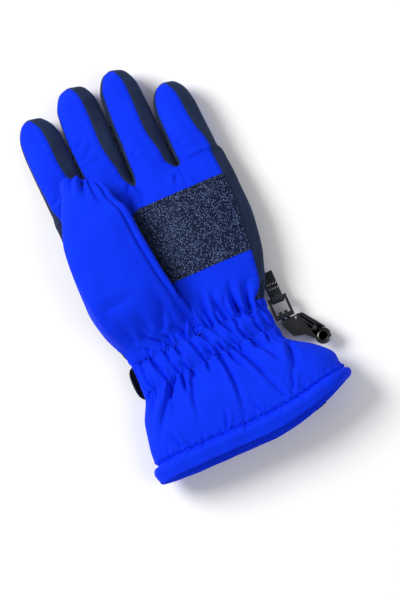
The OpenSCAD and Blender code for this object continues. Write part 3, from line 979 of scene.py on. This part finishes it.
def make_finishes():
    """Every finish, with its darker and its paler colour."""
    grain = cloth_grain_group()
    weave = thread_weave_group()
    dark_tape = ((0.006, 0.008, 0.012), (0.03, 0.035, 0.045))
    made = {
        "blue": softshell_finish("blue_softshell_finish", (0.001, 0.024, 0.72), (0.002, 0.035, 0.82), grain,
                                 sheen=0.04, tint=(0.15, 0.3, 1.0)),
        "black": softshell_finish("black_softshell_finish", (0.008, 0.014, 0.036), (0.02, 0.035, 0.088),
                                  grain, sheen=0.12, tint=(0.35, 0.5, 1.0)),
        "grip": grip_finish(),
        "fleece": fleece_finish("fleece_finish", (0.001, 0.004, 0.09), (0.004, 0.012, 0.26)),
        "wadding": fleece_finish("wadding_finish", (0.6, 0.62, 0.64), (0.8, 0.82, 0.84)),
        "elastic": tape_finish("elastic_finish", *dark_tape, weave, ribs=1500.0),
        "webbing": tape_finish("webbing_finish", (0.005, 0.007, 0.010), (0.035, 0.042, 0.055), weave,
                               ribs=1100.0),
        "loop": fleece_finish("loop_finish", (0.006, 0.008, 0.012), (0.05, 0.055, 0.065)),
        "hooks": tape_finish("hook_pad_finish", *dark_tape, weave, ribs=2200.0),
        "plastic": plastic_finish(),
    }
    threads = (("blue", (0.003, 0.04, 0.7), (0.012, 0.08, 0.85)),
               ("dark", (0.004, 0.008, 0.03), (0.03, 0.05, 0.12)),
               # The pale thread's colour is painted highlight: it stands for the glint of light on stitches
               # over the black webbing.
               ("pale", (0.5, 0.52, 0.56), (0.8, 0.82, 0.86)))
    for name, low, high in threads:
        made[name + "_thread"] = thread_finish(name + "_thread_finish", low, high)
    return made


# ---------------------------------------------------------------- shell pieces

def make_shell(fingers):
    """The kneaded shell for the cloth, and the calm one below it for the layers inside."""
    fronts_and_backs = [finger.name + part for finger in fingers for part in ("_front", "_back")]
    BLUE_TAGS.update(tag(name) for name in (*BLUE_CLOTH, *fronts_and_backs))
    cage = glove_cage(fingers)
    fitted = cage.through_points()
    calm, calm_quads, calm_tags = cage.refined(fitted, 3)
    points, quads, tags = cage.refined(fitted, 4)
    points = knead(points, quads, tags)
    return {"points": points, "quads": quads, "tags": tags, "normals": corner_normals(points, quads),
            "calm": calm, "calm_quads": calm_quads, "calm_tags": calm_tags,
            "calm_normals": corner_normals(calm, calm_quads)}


def shell_piece(shell, finishes, name, kind, more=()):
    """One cut piece of the shell's cloth."""
    wanted = [TAGS[n] for n in (name, *more)]
    quads = shell["quads"][np.isin(shell["tags"], wanted)]
    obj = cloth_piece(name + "_cloth", shell["points"], quads, shell["normals"], CLOTH_T)
    return finish_piece(obj, finishes, kind, [name])


def layer_piece(shell, finishes, name, tag_names, depth, thickness, kind, low_y=-100, high_y=300):
    """A layer inside the shell, at a depth below its cloth, between two heights."""
    wanted = [TAGS[n] for n in tag_names]
    quads = shell["calm_quads"][np.isin(shell["calm_tags"], wanted)]
    middle_y = shell["calm"][quads].mean(axis=1)[:, 1]
    quads = quads[(middle_y > low_y) & (middle_y < high_y)]
    obj = cloth_piece(name + "_layer", shell["calm"], quads, shell["calm_normals"], thickness, -depth)
    return finish_piece(obj, finishes, kind, [name])


def make_shell_pieces(shell, fingers, finishes):
    blend_wrist(shell_piece(shell, finishes, "palm_panel", "blue", ("palm_patch_zone",)))
    blend_wrist(shell_piece(shell, finishes, "back_panel", "blue"))
    for name in ("radial_side_band", "ulnar_side_band"):
        blend_wrist(shell_piece(shell, finishes, name, "black"))
    for name in FOURCHETTES:
        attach(shell_piece(shell, finishes, name, "black"), "hand")
    for name in WRIST_CLOTH:
        blend_wrist(shell_piece(shell, finishes, name, "blue"))
    for name in CUFF_CLOTH:
        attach(shell_piece(shell, finishes, name, "blue"), "cuff")
    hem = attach(shell_piece(shell, finishes, "cuff_hem", "blue"), "cuff")
    for finger in fingers:
        for part, kind in (("_front", "blue"), ("_back", "blue"), ("_band", "black")):
            blend_finger(shell_piece(shell, finishes, finger.name + part, kind))


def make_layers(shell, fingers, finishes):
    """Linings, wadding and elastic. Each depth keeps a layer clear of the folds above it."""
    blend_wrist(layer_piece(shell, finishes, "hand_lining", HAND_CLOTH, depth=10.8, thickness=1.2,
                            kind="fleece"))
    wadding = (("palm_insulation", ("palm_panel", "palm_patch_zone"), 9.6, 0.9),
               ("back_insulation", ("back_panel",), 2.0, 2.2))
    for name, tag_names, depth, thickness in wadding:
        pad = layer_piece(shell, finishes, name, tag_names, depth, thickness, kind="wadding",
                          low_y=20, high_y=108)
        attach(pad, "hand")
    blend_wrist(layer_piece(shell, finishes, "cuff_lining", WRIST_CLOTH + CUFF_CLOTH, depth=6.0,
                            thickness=1.4, kind="fleece"))
    blend_wrist(layer_piece(shell, finishes, "wrist_elastic", WRIST_CLOTH, depth=4.6, thickness=0.9,
                            kind="elastic", low_y=-14, high_y=5))
    for finger in fingers:
        names = [finger.name + part for part in ("_front", "_back", "_band")]
        lining = layer_piece(shell, finishes, finger.name + "_lining", names, depth=2.2, thickness=1.6,
                             kind="fleece")
        blend_finger(lining)


def make_grip_patch(shell, finishes):
    """The patch lies on the palm, with its edge sewn down into the cloth."""
    quads = shell["quads"][shell["tags"] == TAGS["palm_patch_zone"]]
    obj = cloth_piece("palm_grip_patch_cloth", shell["points"], quads, shell["normals"], thickness=0.9,
                      raise_by=0.85, tuck_edge=0.55)
    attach(finish_piece(obj, finishes, "grip", ["palm_grip_patch"]), "hand")


# ---------------------------------------------------------------- thumb

# y, left, right, bottom and top of the thumb, from its root in the palm to where its tip rounds off
THUMB_STATIONS = np.array([
    (4, -50, 4, 22, 26.0),
    (12, -52, 2.5, 22, 29.6),
    (20, -56, 0.5, 26, 36.5),
    (30, -60.5, -2, 30, 44.5),
    (45, -64, -5, 33, 51.5),
    (62, -64, -7.7, 33.6, 54.5),
    (80, -62.5, -9.2, 33.6, 55.0),
    (99, -58.5, -10.5, 33, 53.5),
    (112, -52.5, -13.2, 32, 50.5),
    (119, -48.8, -16, 31.5, 48.5),
], float)
THUMB_TIP_Y = 134.0
THUMB_TIP_X = -32.0
THUMB_TIP_SLANT = 0.46
THUMB_TIP_DROP = 1.5
THUMB_POWER = 2.3
THUMB_BLUNTNESS = 0.36
THUMB_ROWS = 120
THUMB_COLUMNS = 144
THUMB_DOME_ROWS = 44
THUMB_BLEND = (24.0, 74.0)
# angles round the thumb where the welt and the outer panel start, and where the outer panel ends
WELT_FROM = -16
OUTER_FROM = 14
OUTER_TO = 214
LINING_FROM_Y = 40.0
FAR_FROM_EDGE = 99.0
# as the long folds of the shell
THUMB_FOLDS = (
    (-30.5, 134.5, -33, 116, 2.6, 4.4),
    (-27, 131.5, -24, 108, 1.8, 2.6),
    (-37, 136.5, -42, 120, 2.4, 1.6),
    (-12, 20, -20, 44, 3.0, 2.0),
    (-30, 17, -34, 34, 2.6, 2.0),
    (-22, 16, -14, 34, 2.2, 2.0),
    (-42, 15, -50, 32, 2.6, 1.8),
    (-4, 14, -9, 36, 2.2, 2.2),
    (-52, 40, -22, 46, 4.5, 1.3),
    (-50, 98, -30, 108, 6.0, 1.2),
)


def thumb_row(station, y, degrees, share=1.0, drop=0.0):
    """Places round the thumb at y."""
    x0, x1, z0, z1 = station
    x, z = section((x1 - x0) / 2 * share, (z1 - z0) / 2 * share, degrees, THUMB_POWER)
    return np.stack([(x0 + x1) / 2 + x, np.full_like(x, y), (z0 + z1) / 2 - drop + z], 1)


def thumb_surface():
    """Rows of a tube from the thumb's root to its tip. Its columns go from the lower right over the top."""
    ys = np.linspace(THUMB_STATIONS[0, 0], THUMB_STATIONS[-1, 0], THUMB_ROWS)
    degrees = np.linspace(-40, 320, THUMB_COLUMNS, endpoint=False)
    rows = [thumb_row(station, y, degrees) for y, station in zip(ys, curve_through(THUMB_STATIONS, ys))]
    last_y, *last = THUMB_STATIONS[-1]
    for step in range(1, THUMB_DOME_ROWS):
        a = math.pi / 2 * step / THUMB_DOME_ROWS
        y = last_y + (THUMB_TIP_Y - last_y) * math.sin(a)
        share = math.cos(a) ** THUMB_BLUNTNESS
        rows.append(thumb_row(last, y, degrees, share, THUMB_TIP_DROP * math.sin(a)))
    x0, x1, z0, z1 = last
    tip = np.array([(x0 + x1) / 2, THUMB_TIP_Y, (z0 + z1) / 2 - THUMB_TIP_DROP])
    return np.array(rows), tip, degrees


def reach_down_to_hand(grid, degrees):
    """The root's outer side comes down over the side of the hand."""
    side = smooth(150, 195, degrees) * (1 - smooth(225, 262, degrees))
    tucked = smooth(200, 255, degrees) * (1 - smooth(265, 305, degrees))
    for row in grid:
        y = row[0, 1]
        share = 1 - smooth(40, 76, y)
        low = 14.5 + 15.5 * (1 - share) - 0.11 * np.clip(degrees - 195, 0, 50)
        row[:, 2] += (low - row[:, 2]) * side * share
        row[:, 0] += (4.5 * tucked - 0.8 * side) * share


def thumb_quads(rows, tip):
    """Quads of the tube, row by row, and the cap that closes it on its tip."""
    k = np.arange(rows - 1)[:, None] * THUMB_COLUMNS
    j = np.arange(THUMB_COLUMNS)[None]
    n = (j + 1) % THUMB_COLUMNS
    tube = np.stack([k + THUMB_COLUMNS + j, k + THUMB_COLUMNS + n, k + n, k + j], -1)
    pair = np.arange(0, THUMB_COLUMNS, 2)
    last = (rows - 1) * THUMB_COLUMNS
    after = (pair + 2) % THUMB_COLUMNS
    cap = np.stack([last + pair, np.full_like(pair, tip), last + after, last + pair + 1], 1)
    return np.vstack([tube.reshape(-1, 4), cap])


def make_thumb(finishes):
    grid, tip, degrees = thumb_surface()
    reach_down_to_hand(grid, degrees)
    from_edge = np.append((grid[:, :, 0].max(axis=1)[:, None] - grid[:, :, 0]).ravel(), FAR_FROM_EDGE)
    points = np.vstack([grid.reshape(-1, 3), tip[None]])
    slanted = smooth(98, 120, points[:, 1])
    points[:, 1] -= THUMB_TIP_SLANT * (points[:, 0] - THUMB_TIP_X) * slanted
    quads = thumb_quads(len(grid), len(points) - 1)
    column_degrees = np.append(np.tile(degrees, len(grid) - 1), degrees[::2])
    row_y = np.append(np.repeat(grid[:-1, 0, 1], THUMB_COLUMNS), np.full(THUMB_COLUMNS // 2, THUMB_TIP_Y))
    points = knead_thumb(points, corner_normals(points, quads), from_edge)
    normals = corner_normals(points, quads)
    root = row_y < THUMB_BLEND[0]
    top = (column_degrees > OUTER_FROM) & (column_degrees < OUTER_TO)
    welt = (column_degrees > WELT_FROM) & (column_degrees <= OUTER_FROM)
    thumb_parts = (
        ("thumb_base", root, "blue"),
        ("thumb_outer_panel", ~root & top, "blue"),
        ("thumb_welt", ~root & welt, "blue"),
        ("thumb_grip_pad", ~root & ~top & ~welt, "grip"),
    )
    for name, chosen, kind in thumb_parts:
        obj = cloth_piece(name + "_cloth", points, quads[chosen], normals, CLOTH_T)
        blend_thumb(finish_piece(obj, finishes, kind, [name]))
    inside = quads[row_y > LINING_FROM_Y]
    lining = cloth_piece("thumb_lining_layer", points, inside, normals, thickness=1.4,
                         raise_by=-CLOTH_T - 0.3)
    blend_thumb(finish_piece(lining, finishes, "fleece", ["thumb_lining"]))


def blend_thumb(obj):
    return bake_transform(obj)


def knead_thumb(points, normals, from_edge):
    """Folds, gathers at the root, unevenness, and the ridge and groove of the welt beside the inner edge."""
    x, y, z = points.T
    high = smooth(34, 42, z)
    over = high + (1 - smooth(34, 40, y)) * (1 - high)
    s, half_round = round_the_wrist(points)
    lift = 0.7 * swell(points, 60, 31) + 0.3 * swell(points, 24, 32)
    for line in THUMB_FOLDS:
        lift += over * fold_line(x, y, line)
    for line in gather_lines(half_round):
        lift += (1 - smooth(40, 50, y)) * fold_line(s, y, line)
    beside_welt = smooth(39, 43, z) * smooth(16, 40, y)
    for place, width, height in ((1.2, 1.5, 1.2), (4.2, 0.9, -1.7), (7.0, 1.8, 0.5)):
        lift += beside_welt * height * ridge(from_edge - place, width)
    return points + normals * lift[:, None]


# ---------------------------------------------------------------- stitching

class SkinMap:
    """Finds places on the finished shell from two flat coordinates."""

    def __init__(self, points, normals, flat, chosen):
        self.points = points[chosen]
        self.normals = normals[chosen]
        self.tree = KDTree(len(self.points))
        for k, (u, v) in enumerate(flat[chosen]):
            self.tree.insert((u, v, 0.0), k)
        self.tree.balance()

    def at(self, u, v):
        found = self.tree.find_n((u, v, 0.0), 3)
        share = np.array([1 / (d + 0.05) for _, _, d in found])
        near = [k for _, k, _ in found]
        share /= share.sum()
        return share @ self.points[near], share @ self.normals[near]


def tube_faces(rings, sides):
    """Faces of a tube through rings of points, closed at both ends."""
    faces = []
    for k in range(rings - 1):
        for j in range(sides):
            n = (j + 1) % sides
            faces.append((k * sides + j, k * sides + n, (k + 1) * sides + n, (k + 1) * sides + j))
    last = (rings - 1) * sides
    faces.append(tuple(range(sides - 1, -1, -1)))
    faces.append(tuple(range(last, last + sides)))
    return faces


def thread_bead(sides=6):
    """One stitch of unit length along X: rings of a small plump thread."""
    turn = np.arange(sides) * 2 * math.pi / sides
    profile = ((-0.5, 0.35), (-0.36, 0.85), (0.0, 1.0), (0.36, 0.85), (0.5, 0.35))
    rings = [np.stack([np.full(sides, x), r * np.cos(turn), r * np.sin(turn)], 1) for x, r in profile]
    return np.vstack(rings), tube_faces(len(rings), sides)


def stitches_piece(name, ends, thickness, finishes, kind):
    """Stitches between pairs of places; each pair is (start, end, surface normal)."""
    bead, bead_faces = thread_bead()
    bowed = bead.copy()
    bowed[:, 2] -= (np.abs(bead[:, 0]) * 2) ** 2 * 0.7
    points, faces = [], []
    for start, end, normal in ends:
        along = end - start
        length = np.linalg.norm(along)
        along = along / length
        up = normal - along * (normal @ along)
        up /= np.linalg.norm(up)
        side = np.cross(up, along)
        offset = len(points) * len(bead)
        middle = (start + end) / 2 + up * thickness * 0.35
        points.append(middle + bowed[:, :1] * length * along + bowed[:, 1:2] * thickness * side
                      + bowed[:, 2:] * thickness * up)
        faces.extend(tuple(i + offset for i in face) for face in bead_faces)
    return finish_piece(placed_object(name, np.vstack(points), faces), finishes, kind)


def stitch_on(skin, start, end):
    """One stitch between two flat places on the cloth."""
    a, b = skin.at(*start), skin.at(*end)
    return a[0], b[0], (a[1] + b[1]) / 2


def stitch_path(skin, path, length, gap):
    """Stitches of one length along a flat path, each lying on the cloth."""
    path = np.array(path, float)
    steps = np.hypot(*np.diff(path, axis=0).T)
    run = np.concatenate([[0], np.cumsum(steps)])
    ends = []
    place = 0.0
    while place + length < run[-1]:
        pair = [[np.interp(at, run, path[:, k]) for k in range(2)] for at in (place, place + length)]
        ends.append(stitch_on(skin, *pair))
        place += length + gap
    return ends


def zigzag(skin, start, end, row_y, step, sway):
    """A zigzag row from start to end round the wrist."""
    ends = []
    for k in range(int((end - start) / step)):
        u0, u1 = start + k * step, start + (k + 0.86) * step
        swing = sway if k % 2 else -sway
        ends.append(stitch_on(skin, (u0, row_y(u0) + swing), (u1, row_y(u1) - swing)))
    return ends


def zigzag_round(skin, corners, step, length, sway):
    """A zigzag row along the straight sides between corners."""
    ends = []
    for a, b in zip(corners, corners[1:]):
        run = math.hypot(b[0] - a[0], b[1] - a[1])
        along = np.array(((b[0] - a[0]) / run, (b[1] - a[1]) / run))
        across = np.array((-along[1], along[0])) * sway
        for k in range(int(run / step)):
            swing = across * (1 if k % 2 else -1)
            p = np.array(a) + along * k * step + swing
            q = np.array(a) + along * (k * step + length) - swing
            ends.append(stitch_on(skin, p, q))
    return ends


def make_cuff_stitching(shell, finishes):
    """The two zigzag rows of the elastic and the running stitch of the hem."""
    points, normals = shell["points"], shell["normals"]
    s, half_round = round_the_wrist(points)
    x, y, _ = points.T
    straight_y = y - mouth_slant(x, np.minimum(cuff_lean(y), 1))
    inner = (y < -62) & (facing_out(points, normals) < 0)
    outward = (y < 14) & (straight_y > -70) & ~inner
    skin = SkinMap(points, normals, np.stack([s, straight_y], 1), outward)
    rows = []
    for row_y in (upper_row_y, lower_row_y):
        rows += zigzag(skin, -half_round + 1, half_round - 1, row_y, step=2.9, sway=1.5)
    blend_wrist(stitches_piece("wrist_stitching", rows, 0.27, finishes, "blue_thread"))
    hem_path = [(u, HEM_TOP + 1.1) for u in np.linspace(-half_round + 0.5, half_round - 0.5, 160)]
    hem = stitch_path(skin, hem_path, length=2.6, gap=1.5)
    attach(stitches_piece("hem_stitching", hem, 0.28, finishes, "blue_thread"), "cuff")


def make_patch_stitching(shell, finishes):
    """The zigzag row that holds the grip patch, just inside its edge."""
    points, normals = shell["points"], shell["normals"]
    chosen = on_pieces(points, shell["quads"], shell["tags"], [TAGS["palm_patch_zone"]]) > 0
    palm = SkinMap(points + normals * 0.55, normals, points[:, :2], chosen)
    low, high = PATCH_ROWS[0] + 1.4, PATCH_ROWS[1] - 1.4
    edge = [(-28, low), (52.5, low), (54.5, 70), (56, high), (-28, high)]
    ends = zigzag_round(palm, edge, step=1.9, length=1.6, sway=0.9)
    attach(stitches_piece("grip_patch_stitching", ends, 0.2, finishes, "dark_thread"), "hand")


# ---------------------------------------------------------------- strap and webbing

def tape_profile(thickness, ribs, rib_depth):
    """Section of woven tape: share of its half width, and height. The ribs are on its outer side."""
    flat = np.linspace(-1, 1, 41)
    edge = (1 - np.abs(flat) ** 14) ** 0.5 * thickness / 2
    ribbed = rib_depth * (np.cos(flat * math.pi * ribs * 2) - 1) * 0.5 * (np.abs(flat) < 0.96)
    outer = list(zip(flat, edge + ribbed))
    inner = list(zip(flat[-2:0:-1], -edge[-2:0:-1]))
    return outer + inner


def tape_along(name, path, across, width, thickness, ribs, rib_depth, round_start=0.0):
    """Woven tape that follows a path with its flat side facing away from the path's inside."""
    path = np.array(path, float)
    across = np.asarray(across, float)
    tangent = np.gradient(path, axis=0)
    tangent /= np.linalg.norm(tangent, axis=1, keepdims=True)
    facing = np.cross(tangent, across)
    facing /= np.linalg.norm(facing, axis=1, keepdims=True)
    run = np.concatenate([[0], np.cumsum(np.linalg.norm(np.diff(path, axis=0), axis=1))])
    profile = tape_profile(thickness, ribs, rib_depth)
    rows = []
    for place, out, r in zip(path, facing, run):
        narrow = 1.0
        if round_start and r < round_start:
            narrow = math.sqrt(max(0.02, 1 - (1 - r / round_start) ** 2))
        rows.append([place + across * u * width / 2 * narrow + out * h for u, h in profile])
    obj = placed_object(name, np.vstack(rows), tube_faces(len(rows), len(profile)))
    correct_facing(obj)
    return obj


def correct_facing(obj):
    """Turns a closed mesh the right way out and keeps its sharp ends."""
    work = bmesh.new()
    work.from_mesh(obj.data)
    bmesh.ops.recalc_face_normals(work, faces=work.faces)
    work.to_mesh(obj.data)
    work.free()
    select_only(obj)
    bpy.ops.object.shade_smooth_by_angle(angle=math.radians(50))


def select_only(obj):
    bpy.ops.object.select_all(action="DESELECT")
    obj.select_set(True)
    bpy.context.view_layer.objects.active = obj


STRAP_MID_Y = -7.5
STRAP_W = 25.0
# how far the strap's free end stands off the wrist, and the steps of its path that it takes
FREE_END_OUT = 1.9
FREE_END_STEPS = 22


def wrist_path(low, high, rise, y=STRAP_MID_Y, steps=70):
    """Places along the wrist's section at a height above the cloth."""
    x0, x1, z0, z1 = along_stations(SHELL_STATIONS, y)
    x, z = section((x1 - x0) / 2 + rise, (z1 - z0) / 2 + rise, np.linspace(low, high, steps), SHELL_POWER)
    return np.stack([(x0 + x1) / 2 + x, np.full(steps, y), np.maximum((z0 + z1) / 2 + z, z0 - rise)], 1)


def wrist_tape(finishes, kind, node, body, path, **sizes):
    """A tape across the back of the wrist."""
    name = node + ("_pile" if kind == "loop" else "_tape")
    tape = tape_along(name, path, (0, 1, 0), **sizes)
    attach(finish_piece(tape, finishes, kind, [node]), body)


def make_strap(finishes):
    """Hook-and-loop strap on the back of the wrist. It is closed; its free end shows at the index side."""
    path = wrist_path(183, 302, rise=2.45)
    path[:, 0] -= FREE_END_OUT * (1 - smooth(0, FREE_END_STEPS, np.arange(len(path))))
    wrist_tape(finishes, "webbing", "wrist_strap", "strap", path,
               width=STRAP_W, thickness=1.1, ribs=7, rib_depth=0.14, round_start=9.0)
    wrist_tape(finishes, "hooks", "strap_hook_pad", "strap", wrist_path(198, 232, rise=1.58),
               width=22.6, thickness=0.6, ribs=16, rib_depth=0.1)
    wrist_tape(finishes, "loop", "strap_loop_patch", "cuff", wrist_path(202, 262, rise=0.5),
               width=22, thickness=0.8, ribs=11, rib_depth=0.1)
    wrist_tape(finishes, "webbing", "strap_anchor", "cuff", wrist_path(303.5, 326, rise=1.5),
               width=STRAP_W, thickness=2.8, ribs=7, rib_depth=0.14)
    rows = []
    path = wrist_path(306, 323, rise=2.95)
    out = np.array((0.45, 0, -0.9))
    for offset in (-10.5, -9.0, 9.0, 10.5):
        shift = np.array((0, offset, 0))
        rows += [(path[k] + shift, path[k + 4] + shift, out) for k in range(0, 66, 6)]
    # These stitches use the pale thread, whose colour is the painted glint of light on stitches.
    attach(stitches_piece("strap_anchor_stitching", rows, 0.25, finishes, "pale_thread"), "cuff")


TAB_LENGTH = 20.0
TAB_HALF_GAP = 0.55
BAR_R = 1.8


def make_webbing(finishes):
    """A short doubled tab: one tape from the side seam, round the ring's bar and back."""
    pivot = joint_place("ring_swing")
    low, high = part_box("clip_webbing")
    width = (high.x - low.x) / MM
    middle = BAR_R + 0.5
    turn = np.radians(np.linspace(90, 270, 28))
    opened = middle - TAB_HALF_GAP
    upper = [(pivot[0], pivot[1] + y, pivot[2] + TAB_HALF_GAP + opened * smooth(5.5, 0.0, y))
             for y in np.linspace(TAB_LENGTH, 0.3, 26)]
    round_bar = [(pivot[0], pivot[1] + middle * math.cos(a), pivot[2] + middle * math.sin(a)) for a in turn]
    lower = [(x, y, 2 * pivot[2] - z) for x, y, z in reversed(upper)]
    tab = tape_along("clip_webbing_tape", upper + round_bar + lower, (1, 0, 0), width, thickness=0.9,
                     ribs=3, rib_depth=0.12)
    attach(finish_piece(tab, finishes, "webbing", ["clip_webbing"]), "hand")
    ends = []
    # The tab's stitches are pale to paint the glint of light on them.
    up = np.array((0, 0, 1.0))
    for x in (-3.0, -1.0, 1.0, 3.0):
        start = pivot + np.array((x, 7.2, 1.15))
        ends.append((start, start + np.array((1.3, 0.9, 0)), up))
        ends.append((start + np.array((0, 3.4, 0)), start + np.array((1.3, 4.3, 0)), up))
    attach(stitches_piece("clip_webbing_stitching", ends, 0.22, finishes, "pale_thread"), "hand")


# ---------------------------------------------------------------- clip

BROAD_FACE = 1e-4
MERGE_WITHIN = 0.00002


def moulded_piece(node_name, finishes, edge, recess=0.0, rail=0.0):
    """A moulded plastic part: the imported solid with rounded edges, and with sunk faces where wanted."""
    source = frame["nodes"][node_name]
    obj = bpy.data.objects.new(node_name + "_moulded", source.data.copy())
    bpy.context.scene.collection.objects.link(obj)
    select_only(obj)
    bpy.ops.object.mode_set(mode="EDIT")
    bpy.ops.mesh.select_all(action="SELECT")
    bpy.ops.mesh.remove_doubles(threshold=MERGE_WITHIN)
    bpy.ops.mesh.dissolve_limited(angle_limit=math.radians(3))
    bpy.ops.object.mode_set(mode="OBJECT")
    if recess:
        sink_faces(obj, recess, rail)
    rounding = obj.modifiers.new("rounding", "BEVEL")
    rounding.width = edge
    rounding.segments = 3
    rounding.limit_method = "ANGLE"
    rounding.angle_limit = math.radians(35)
    rounding.use_clamp_overlap = True
    rounding.loop_slide = False
    bpy.ops.object.modifier_apply(modifier="rounding")
    bpy.ops.object.shade_smooth_by_angle(angle=math.radians(40))
    return finish_piece(obj, finishes, "plastic", [node_name])


def sink_faces(obj, recess, rail):
    """Sinks the broad upper and lower faces, leaving a rail round their edges."""
    top = max(v.co.z for v in obj.data.vertices)
    low = min(v.co.z for v in obj.data.vertices)
    middle = (top + low) / 2
    for side in (1, -1):
        bpy.ops.object.mode_set(mode="EDIT")
        bpy.ops.mesh.select_mode(type="FACE")
        bpy.ops.mesh.select_all(action="DESELECT")
        bpy.ops.object.mode_set(mode="OBJECT")
        for face in obj.data.polygons:
            broad = face.area > BROAD_FACE and face.normal.z * side > 0.99
            face.select = broad and (face.center.z - middle) * side > 0
        bpy.ops.object.mode_set(mode="EDIT")
        bpy.ops.mesh.inset(thickness=rail, depth=-recess)
        bpy.ops.mesh.select_all(action="DESELECT")
        bpy.ops.object.mode_set(mode="OBJECT")


def make_clip(finishes):
    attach(moulded_piece("clip_ring", finishes, edge=0.0005), "ring")
    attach(moulded_piece("clip_hook", finishes, edge=0.00035, recess=0.0006, rail=0.0011), "hook")
    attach(moulded_piece("clip_gate", finishes, edge=0.0002), "gate")


# ---------------------------------------------------------------- stage

CAMERA_TARGET = (9.4, 27.4, 15.0)
CAMERA_ELEVATION = 80.0
CAMERA_ROLL = 24.0
CAMERA_LENS = 220.0
CAMERA_SENSOR = 36.0
VIEW_HEIGHT = 0.411
FLOOR_HALF = 3.0
FLOOR_Z = -0.0004
WORLD_STRENGTH = 0.42


def make_camera():
    data = bpy.data.cameras.new("camera")
    data.sensor_fit = "VERTICAL"
    data.sensor_height = CAMERA_SENSOR
    data.lens = CAMERA_LENS
    camera = bpy.data.objects.new("camera", data)
    bpy.context.scene.collection.objects.link(camera)
    lift = math.radians(CAMERA_ELEVATION)
    roll = math.radians(CAMERA_ROLL)
    back = Vector((0, -math.cos(lift), math.sin(lift)))
    up_hand = Vector((0, math.sin(lift), math.cos(lift)))
    across = Vector((1, 0, 0))
    right = across * math.cos(roll) - up_hand * math.sin(roll)
    up = across * math.sin(roll) + up_hand * math.cos(roll)
    distance = VIEW_HEIGHT / 2 * CAMERA_LENS / (CAMERA_SENSOR / 2)
    target = Vector(to_frame(CAMERA_TARGET))
    turn = Matrix((right, up, back)).transposed().to_4x4()
    camera.matrix_world = Matrix.Translation(target + back * distance) @ turn
    bpy.context.scene.camera = camera


def area_light(name, place, size, power):
    """A soft round light aimed at the glove."""
    data = bpy.data.lights.new(name, "AREA")
    data.shape = "DISK"
    data.size = size
    data.energy = power
    light = bpy.data.objects.new(name, data)
    bpy.context.scene.collection.objects.link(light)
    light.rotation_euler = (-Vector(place)).to_track_quat("-Z", "Y").to_euler()
    light.location = place


def make_floor():
    """A wide pale floor just below the glove."""
    half, low = FLOOR_HALF, FLOOR_Z
    mesh = bpy.data.meshes.new("floor")
    mesh.from_pydata([(-half, -half, low), (half, -half, low), (half, half, low), (-half, half, low)], [],
                     [(0, 1, 2, 3)])
    floor = bpy.data.objects.new("floor", mesh)
    bpy.context.scene.collection.objects.link(floor)
    pale = Finish("floor_finish", Base_Color=(0.93, 0.93, 0.93, 1), Roughness=0.9, Specular_IOR_Level=0.1)
    mesh.materials.append(pale.material)


def make_studio():
    """Even white surroundings, a soft key light from the fingertips' side and a weak fill."""
    world = bpy.data.worlds.new("studio")
    world.use_nodes = True
    background = world.node_tree.nodes["Background"]
    background.inputs["Color"].default_value = (1, 1, 1, 1)
    background.inputs["Strength"].default_value = WORLD_STRENGTH
    bpy.context.scene.world = world
    area_light("key_light", place=(-1.05, 0.85, 1.35), size=1.0, power=35)
    area_light("fill_light", place=(0.9, -0.9, 1.5), size=1.2, power=7)
    bpy.context.scene.view_settings.view_transform = "Standard"


# ---------------------------------------------------------------- the glove

finishes = make_finishes()
fingers = [Finger(name) for name in FINGERS]
lean_together(fingers)
shell = make_shell(fingers)
make_shell_pieces(shell, fingers, finishes)
make_layers(shell, fingers, finishes)
make_grip_patch(shell, finishes)
make_thumb(finishes)
make_cuff_stitching(shell, finishes)
make_patch_stitching(shell, finishes)
make_strap(finishes)
make_webbing(finishes)
make_clip(finishes)
make_camera()
make_floor()
make_studio()
